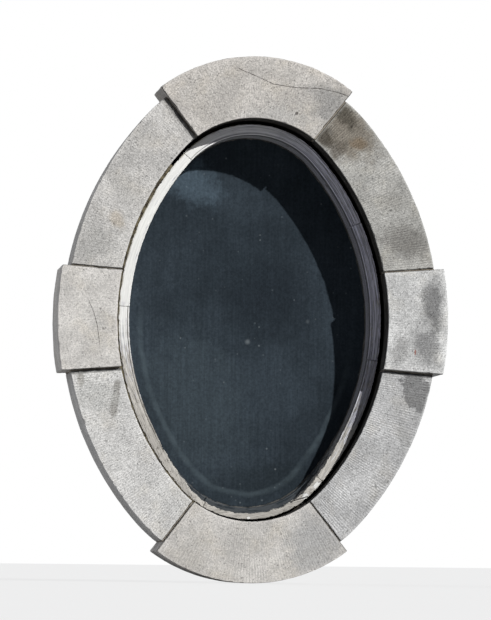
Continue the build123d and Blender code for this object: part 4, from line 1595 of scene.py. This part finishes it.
def glass_finish() -> Material:
    """Old window glass under a grey film of dust, with streaks, specks and a paler band inside the frame."""
    finish = Finish("dusty_glass")
    place = finish.place()
    inset = finish.kept("inset")
    streak = finish.noise(finish.stretch(place, (1.0, 1.0, 0.035)), 210.0, 5.0, 0.65)
    film = finish.noise(place, 5.0, 5.0, 0.6, 3.0)
    colour = finish.mix(finish.ramp(film, 0.38, 0.62), linear(41, 48, 54), linear(51, 59, 66))
    for number, face_patch in enumerate(GLASS_PATCHES, 1):
        colour = soft_patch(finish, place, colour, face_patch, float(number))
    colour = finish.tint(colour, finish.ramp(streak, 0.3, 0.7, 0.88, 1.12))
    mottle = finish.noise(place, 190.0, 3.0, 0.7, 7.0)
    colour = finish.tint(colour, finish.ramp(mottle, 0.3, 0.7, 0.8, 1.2))
    band = pale_band(finish, place, inset)
    colour = finish.mix(finish.times(band, 0.32), colour, linear(90, 102, 108))
    colour, specks = glass_specks(finish, place, colour)
    colour = finish.mix(finish.ramp(inset, 0.0, 0.006, 0.55, 0.0), colour, linear(34, 36, 36))
    rough = finish.plus(finish.ramp(film, 0.3, 0.7, 0.16, 0.3), finish.times(specks, 0.4))
    height = finish.plus(finish.noise(place, 5.0, 2.0, 0.4), finish.times(specks, 0.06))
    return finish.set(colour, rough, height, 0.0016, Specular_IOR_Level=0.006, IOR=1.45)


def pale_band(finish: Finish, place: Socket, inset: Socket) -> Socket:
    """Make a ragged paler band inside the frame, at the pane's lower left.

    Args:
        finish: The pane's finish.
        place: Object coordinates.
        inset: Distance from the frame.

    Returns:
        Share of the band.
    """
    x, _, z = finish.parts(place)
    jitter = finish.minus(finish.noise(place, 12.0, 3.0, 0.5, 5.0), 0.5)
    ragged = finish.plus(inset, finish.times(jitter, 0.022))
    band = finish.times(finish.ramp(ragged, 0.022, 0.034), finish.ramp(ragged, 0.036, 0.044, 1.0, 0.0))
    lower = finish.calc("MAXIMUM", finish.ramp(z, 0.0, -0.22), finish.ramp(x, -0.1, -0.26))
    patchy = finish.ramp(finish.noise(place, 25.0, 4.0, 0.6, 2.0), 0.3, 0.6, 0.35, 1.0)
    band = finish.times(finish.times(band, lower), patchy)
    return finish.times(band, finish.ramp(z, 0.06, -0.04))


def glass_specks(finish: Finish, place: Socket, colour: Socket) -> tuple[Socket, Socket]:
    """Lay a few soft spots and many fine specks of dirt over the pane.

    Args:
        finish: The pane's finish.
        place: Object coordinates.
        colour: Colour of the dusty pane.

    Returns:
        The colour with the specks, and their share.
    """
    distance, chance = finish.cells(place, 95.0)
    red, green, _ = finish.parts(chance)
    fine = finish.times(finish.ramp(distance, 0.1, 0.33, 1.0, 0.0), finish.calc("LESS_THAN", red, 0.11))
    wide_distance, wide_chance = finish.cells(place, 22.0, 3.0)
    wide_red, _, _ = finish.parts(wide_chance)
    chosen = finish.calc("LESS_THAN", wide_red, 0.34)
    wide = finish.times(finish.ramp(wide_distance, 0.04, 0.2, 0.8, 0.0), chosen)
    share = finish.calc("MAXIMUM", finish.times(fine, finish.ramp(green, 0.0, 1.0, 0.3, 0.9)), wide)
    return finish.mix(finish.times(share, 0.5), colour, linear(128, 136, 140)), share


@dataclass
class Glazing:
    """The pane with its putty, the beads behind it and their pins."""

    oval: Oval = field(default_factory=Oval)
    ring_inner: float = -34.0
    rebate_edge: float = -24.0
    glass_edge: float = -26.0
    putty_depth: float = 247.9
    putty_overhang: float = 2.5
    glass_depth: float = 249.9
    glass_thickness: float = 4.0
    bead_depth: float = 255.4
    bead_thickness: float = 15.0
    bead_gap: float = 0.4
    pin_normals: tuple[float, ...] = (55, 85, 125, 150, 180, 210, 235, 270, 305, 333, 353, 375)

    def build(self, surface: Tree, fasteners: Tree) -> None:
        """Build and dress the pane, the putty, the beads and the pins.

        Args:
            surface: The tree that weathers a skin.
            fasteners: The tree that sets pins.
        """
        self._pane()
        self._putty()
        room = OldPaint("bead_paint", linear(222, 217, 203), linear(190, 184, 168)).make()
        turn = self.oval.turn
        ends = (-turn, turn, 180 - turn, 180 + turn, FULL_TURN - turn)
        for number, place in enumerate(("right", "top", "left", "bottom")):
            self._bead(place, ends[number], ends[number + 1], number, room, surface)
        normals = np.array(self.pin_normals, float)
        places = self.oval.places(normals, self.ring_inner, self.bead_depth + self.bead_thickness / 2)
        axes = self.oval.outward(normals)
        pin = Fastener(head_radius=0.0013, head_height=0.0006, shank_radius=0.0008, length=0.02,
                       slot_width=0.0002, slot_depth=0.0001, proud=0.0005)
        pins = fasteners_piece("panel_pins", places, axes, fasteners, steel_finish(), pin)
        settle(pins, Slot.STEEL, "bead_pins")

    def _pane(self) -> None:
        """The pane: rings of points from its edge to its middle, on both faces."""
        insets = np.concatenate([[0.0, 0.6, 2.0], np.arange(5.0, 70.0, 5.0), np.arange(75.0, 185.0, 15.0)])
        normals = np.linspace(0.0, FULL_TURN, 241)[:-1]
        count = len(normals)
        rows = [
            self.oval.places(normals, self.glass_edge - inset, depth)
            for depth in (self.glass_depth, self.glass_depth + self.glass_thickness) for inset in insets
        ]
        points, inset = np.concatenate(rows), np.tile(np.repeat(insets, count), 2)
        centre_rows = len(insets)
        quads = []
        step = np.arange(count)
        following = (step + 1) % count
        for side in (0, 1):
            for row in range(centre_rows - 1):
                base = (side * centre_rows + row) * count
                onward = base + count
                quad = np.stack([base + step, base + following, onward + following, onward + step], 1)
                quads.append(quad[:, ::-1] if side == 1 else quad)
        back = centre_rows * count
        quads.append(np.stack([step, back + step, back + following, following], 1))
        faces = np.concatenate(quads).tolist()
        last = (centre_rows - 1) * count
        faces.append((last + step).tolist())
        faces.append((back + last + step)[::-1].tolist())
        mesh = bpy.data.meshes.new("old_pane")
        mesh.from_pydata((points * MM).tolist(), [], faces)
        store = mesh.attributes.new("inset", "FLOAT", "POINT")
        store.data.foreach_set("value", (np.maximum(inset - 8.0, 0.0) * MM).astype(np.float32))
        mesh.materials.append(glass_finish())
        pane = bpy.data.objects.new("old_pane", mesh)
        bpy.context.scene.collection.objects.link(pane)
        settle(pane, Slot.GLASS, "glass_pane")

    def _putty(self) -> None:
        """Ring of putty in front of the pane, with a ragged inner edge."""
        count = 720
        normals = np.linspace(0.0, FULL_TURN, count + 1)[:-1]
        run = normals * 7.5
        ragged = self.putty_overhang + 1.1 * wobble(run, 83.0, 9) + 0.5 * wobble(run, 17.0, 4)
        inner = self.ring_inner - np.maximum(ragged, 0.4)
        section = [
            (inner, self.glass_depth), (inner + 0.3, self.glass_depth - 0.8),
            (inner + 1.2, self.putty_depth + 0.1), (self.ring_inner + 1.0, self.putty_depth),
            (self.glass_edge, self.putty_depth), (self.glass_edge, self.glass_depth),
        ]
        rows = [self.oval.places(normals, offset, depth) for offset, depth in section]
        step = np.arange(count)
        following = (step + 1) % count
        quads = []
        for row in range(len(section)):
            base, other = row * count, (row + 1) % len(section) * count
            quads.append(np.stack([base + following, other + following, other + step, base + step], 1))
        piece = mesh_piece("ragged_putty", np.concatenate(rows), np.concatenate(quads))
        piece.data.materials.append(putty_finish())
        settle(piece, Slot.PUTTY, "front_putty")

    def _bead(self, place: str, start: float, end: float, number: int, finish: Material,
              surface: Tree) -> None:
        """One glazing bead behind the pane."""
        outer = self.rebate_edge - self.bead_gap / 2
        gap = self.oval.turn_of(self.bead_gap / 2, (start + end) / 2, (self.ring_inner + outer) / 2)
        skin = Skin(self.oval, square_ends(start + gap, end - gap), self.ring_inner, outer, self.bead_depth,
                    self.bead_depth + self.bead_thickness, step=6.0, cross_step=2.0, depth_step=3.0,
                    fine=(0.0, 0.6, 1.4, 2.4))
        near = np.exp(-(skin.edge_distance / 1.5) ** 2)
        skin.ease(1.8)
        points = skin.bend()
        course = np.stack([skin.along, skin.offset - 30.0, skin.depth], axis=1) * MM
        grain = np.stack([skin.along + 700.0 * number, skin.depth, skin.offset], axis=1) * MM
        values = {"course": course, "arris": near, "bare": np.full(len(points), 0.18), "grain": grain,
                  "crack": np.full(len(points), FAR_FROM_CRACK * MM)}
        piece = mesh_piece(f"glazing_batten_{place}", points, skin.quads, values)
        Shaper.run(piece, surface, finish, Wear(
            undulation=0.0004, undulation_size=40.0, grain=0.0001, grain_size=300.0, chips=0.0008,
            seed=number + 70.0))
        settle(piece, Slot.ROOM_SIDE, f"glazing_bead_{place}")


@dataclass
class CrampLead:
    """Lead run in round the cramps across the stone joints at the back."""

    oval: Oval = field(default_factory=Oval)
    band_offset: float = 60.0
    cramp_length: float = 150.0
    cramp_width: float = 20.0
    cover: float = 3.0
    depth: float = 288.0
    back: float = 300.0
    proud: float = 0.9

    def build(self, surface: Tree, joints: list[Joint]) -> None:
        """Build one bar of lead at each joint, a little proud of the stones' back.

        Args:
            surface: The tree that weathers a skin.
            joints: Direction and bias of each stone joint.
        """
        half_length = self.cramp_length / 2 + self.cover
        half_width = self.cramp_width / 2 + self.cover
        fine = (0.0, 0.6, 1.5, 3.0)
        a = graded(2 * half_length, 4.0, fine) - half_length
        b = graded(2 * half_width, 3.0, fine) - half_width
        c = graded(self.back + self.proud - self.depth, 3.0, fine) + self.depth
        rows, quads, count = [], [], 0
        for direction, bias in joints[:-1]:
            along, offset, depth, faces = block_lattice(a, b, c)
            normal = self.oval.crossing(direction, bias, np.array([self.band_offset]))
            middle = self.oval.places(normal, self.band_offset, 0.0)
            turn = math.radians(direction)
            across = np.array([-math.sin(turn), 0.0, math.cos(turn)])
            outward = np.array([math.cos(turn), 0.0, math.sin(turn)])
            bar = middle + np.outer(along, across) + np.outer(offset, outward)
            bar[:, 1] = depth
            rows.append(bar)
            quads.append(faces + count)
            count += len(bar)
        values = {"arris": np.zeros(count)}
        piece = mesh_piece("lead_bars", np.concatenate(rows), np.concatenate(quads), values)
        Shaper.run(piece, surface, lead_finish(), Wear(
            undulation=0.0014, undulation_size=45.0, grain=0.0002, grain_size=300.0, seed=91.0))
        settle(piece, Slot.LEAD, "cramp_lead")


@dataclass
class GapFilling:
    """What fills the gap between ring and stones: lime filler at the left, and a roll of tarred hemp."""

    oval: Oval = field(default_factory=Oval)
    ring_outer: float = -8.5
    clearance: float = 0.1
    filler_span: tuple[float, float] = (142.0, 236.0)
    filler_front: float = 101.0
    filler_thickness: float = 12.0
    roll_depth: float = 222.0
    roll_thickness: float = 12.0
    roll_twists: int = 190
    roll_steps: int = 1080
    roll_sides: int = 12

    def build(self, surface: Tree) -> None:
        """Build the filler and the hemp.

        Args:
            surface: The tree that weathers a skin.
        """
        self._filler(surface)
        self._hemp(surface)

    def _filler(self, surface: Tree) -> None:
        """Rough strip of filler in the gap at the left."""
        skin = Skin(self.oval, square_ends(*self.filler_span), self.ring_outer + self.clearance,
                    -self.clearance, self.filler_front, self.filler_front + self.filler_thickness,
                    step=2.2, cross_step=1.5, depth_step=3.0, fine=(0.0, 0.7, 1.6))
        skin.ease(1.2)
        front = skin.depth < self.filler_front + 5.0
        skin.depth = skin.depth + np.where(front, 1.5 + 1.5 * wobble(skin.along, 37.0, 6), 0.0)
        values = {"arris": np.zeros(len(skin.along))}
        piece = mesh_piece("gap_filler_strip", skin.bend(), skin.quads, values)
        Shaper.run(piece, surface, filler_finish(), Wear(
            undulation=0.0012, undulation_size=70.0, grain=0.0006, grain_size=420.0, pits=0.001,
            pit_size=160.0, pit_share=0.3, seed=33.0))
        settle(piece, Slot.FILLER, "gap_filler")

    def _hemp(self, surface: Tree) -> None:
        """Rolled hemp in the gap behind the ring's third layer, against draught and light."""
        low, high = self.ring_outer + self.clearance, -self.clearance
        around = np.linspace(0.0, FULL_TURN, self.roll_steps + 1)[:-1]
        roll = np.radians(np.linspace(0.0, FULL_TURN, self.roll_sides + 1)[:-1])
        normal, angle = (grid.ravel() for grid in np.meshgrid(around, roll, indexing="ij"))
        twist = 0.4 * np.sin(np.radians(normal) * self.roll_twists + angle)
        offset = (low + high) / 2 + ((high - low) / 2 - 0.2) * np.cos(angle)
        depth = self.roll_depth + (self.roll_thickness / 2 + twist) * np.sin(angle)
        points = self.oval.places(normal, offset, depth)
        number = np.arange(len(points)).reshape(self.roll_steps, self.roll_sides)
        onward = np.roll(number, -1, axis=0)
        corners = (number, np.roll(number, -1, axis=1), np.roll(onward, -1, axis=1), onward)
        quads = np.stack([corner.ravel() for corner in corners], axis=1)
        piece = mesh_piece("hemp_caulking", points, quads, {"arris": np.zeros(len(points))})
        Shaper.run(piece, surface, hemp_finish(), Wear(
            undulation=0.0001, undulation_size=60.0, grain=0.0002, grain_size=500.0, seed=51.0))
        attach(piece, "root")
        LOG.info("%s closes the gap, with %d faces", piece.name, len(piece.data.polygons))


def dress_packed_nodes() -> None:
    """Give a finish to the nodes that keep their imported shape, hidden or nearly so."""
    for node, finish in (("iron_cramps", iron_finish()), ("wall_plugs", bare_timber_finish()),
                         ("packers", bare_timber_finish()), ("setting_blocks", bare_timber_finish()),
                         ("back_putty", putty_finish())):
        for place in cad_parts[node].material_slots:
            place.material = finish
        LOG.info("%s keeps its packed shape in %s", node, finish.name)


@dataclass
class Studio:
    """Plain pale studio: floor, soft light and the camera."""

    key_right: float = 22.0
    key_up: float = 23.0
    key_strength: float = 3.34
    key_angle: float = 0.8
    back_strength: float = 1.3
    back_angle: float = 35.0
    back_travel: tuple[float, float, float] = (0.6, -1.0, -0.55)
    fill: float = 0.12
    distance: float = 18.0
    yaw: float = 3.7
    pitch: float = 1.9
    roll: float = -0.565
    target: tuple[float, float] = (-17.41, 22.95)
    picture_height: float = 2.385 * 620
    sensor: float = 36.0
    floor_height: float = -0.6286
    floor_radius: float = 60.0
    floor_sides: int = 64
    floor_glow: float = 0.76

    def build(self) -> None:
        """Set the view, the world, the key light, the floor and the camera."""
        scene = bpy.context.scene
        scene.view_settings.view_transform = "Standard"
        self._world(scene)
        self._key(scene)
        self._floor(scene)
        self._camera(scene)

    def _pale_share(self, bench: Bench) -> Socket:
        """One for rays from the camera, reflections and what is seen through glass."""
        path = bench.node("ShaderNodeLightPath")
        seen = bench.calc("MAXIMUM", path.outputs["Is Camera Ray"], path.outputs["Is Glossy Ray"])
        return bench.calc("MAXIMUM", seen, path.outputs["Is Transmission Ray"])

    def _world(self, scene: bpy.types.Scene) -> None:
        """White to the eye and in reflections, and a weak cool fill for everything else."""
        world = bpy.data.worlds.new("studio_world")
        world.use_nodes = True
        bench = Bench(world.node_tree)
        bench.tree.nodes.clear()
        fill = bench.node("ShaderNodeBackground")
        fill.inputs["Color"].default_value = (0.9, 0.95, 1.13, 1.0)
        fill.inputs["Strength"].default_value = self.fill
        white = bench.node("ShaderNodeBackground")
        white.inputs["Color"].default_value = (1.0, 1.0, 1.0, 1.0)
        white.inputs["Strength"].default_value = 1.0
        both = bench.node("ShaderNodeMixShader")
        bench.feed(both.inputs[0], self._pale_share(bench))
        bench.feed(both.inputs[1], fill.outputs[0])
        bench.feed(both.inputs[2], white.outputs[0])
        bench.feed(bench.node("ShaderNodeOutputWorld").inputs["Surface"], both.outputs[0])
        scene.world = world

    def _key(self, scene: bpy.types.Scene) -> None:
        """The key light from the upper right in front, and a soft light from the upper left behind."""
        slopes = (math.tan(math.radians(self.key_right)), math.tan(math.radians(self.key_up)))
        lights = [
            ("key", self.key_strength, self.key_angle, (1.0, 0.995, 0.98), (-slopes[0], 1.0, -slopes[1])),
            ("back", self.back_strength, self.back_angle, (0.96, 0.98, 1.0), self.back_travel),
        ]
        for name, strength, angle, colour, travel in lights:
            lamp = bpy.data.lights.new(name, "SUN")
            lamp.energy = strength
            lamp.angle = math.radians(angle)
            lamp.color = colour
            light = bpy.data.objects.new(name, lamp)
            light.rotation_mode = "QUATERNION"
            light.rotation_quaternion = Vector(travel).to_track_quat("-Z", "Y")
            scene.collection.objects.link(light)

    def _floor(self, scene: bpy.types.Scene) -> None:
        """A wide pale floor below the part, which keeps its shadow."""
        mesh = bpy.data.meshes.new("studio_floor")
        angles = np.linspace(0, 2 * math.pi, self.floor_sides + 1)[:-1]
        radius = self.floor_radius
        rim = [(radius * math.cos(a), radius * math.sin(a), self.floor_height) for a in angles]
        mesh.from_pydata(rim, [], [list(range(self.floor_sides))])
        finish = Finish("studio_floor")
        speckle = finish.noise(finish.place(), 3.0, 2.0, 0.5)
        finish.set(finish.mix(speckle, (0.48, 0.48, 0.48), (0.52, 0.52, 0.52)), 0.9, Specular_IOR_Level=0.1)
        glow = finish.node("ShaderNodeEmission")
        glow.inputs["Strength"].default_value = 1.0
        both = finish.node("ShaderNodeMixShader")
        finish.feed(both.inputs[0], finish.times(self._pale_share(finish), self.floor_glow))
        finish.feed(both.inputs[1], finish.shader.outputs[0])
        finish.feed(both.inputs[2], glow.outputs[0])
        output = next(node for node in finish.tree.nodes if node.type == "OUTPUT_MATERIAL")
        finish.feed(output.inputs["Surface"], both.outputs[0])
        mesh.materials.append(finish.material)
        floor = bpy.data.objects.new("studio_floor", mesh)
        scene.collection.objects.link(floor)

    def _camera(self, scene: bpy.types.Scene) -> None:
        """The camera, a little left of and below the middle, far off with a long lens."""
        yaw, pitch, roll = (math.radians(value) for value in (self.yaw, self.pitch, self.roll))
        ahead = Vector((math.sin(yaw) * math.cos(pitch), math.cos(yaw) * math.cos(pitch), math.sin(pitch)))
        right = Vector((math.cos(yaw), -math.sin(yaw), 0.0))
        up = right.cross(ahead)
        tilted_right = right * math.cos(roll) - up * math.sin(roll)
        tilted_up = right * math.sin(roll) + up * math.cos(roll)
        data = bpy.data.cameras.new("long_lens")
        data.sensor_width = self.sensor
        data.lens = self.sensor / 2 * self.distance / (self.picture_height / 2 * MM)
        data.clip_start, data.clip_end = 1.0, 200.0
        camera = bpy.data.objects.new("long_lens", data)
        middle = Vector((self.target[0] * MM, 0.0, self.target[1] * MM))
        turn = Matrix((tilted_right, tilted_up, -ahead)).transposed()
        camera.matrix_world = Matrix.Translation(middle - ahead * self.distance) @ turn.to_4x4()
        scene.collection.objects.link(camera)
        scene.camera = camera


def main() -> None:
    """Build the studio and every sub-assembly in order."""
    logging.basicConfig(level=logging.INFO, format="%(name)s: %(message)s")
    Studio().build()
    surface, eroded, fasteners = surface_tree(), timber_tree(), fastener_tree()
    stones = StoneSurround()
    stones.build(surface)
    TimberRing().build(eroded, fasteners)
    Glazing().build(surface, fasteners)
    CrampLead().build(surface, stones.joints())
    GapFilling().build(surface)
    dress_packed_nodes()


if __name__ == "__main__":
    main()
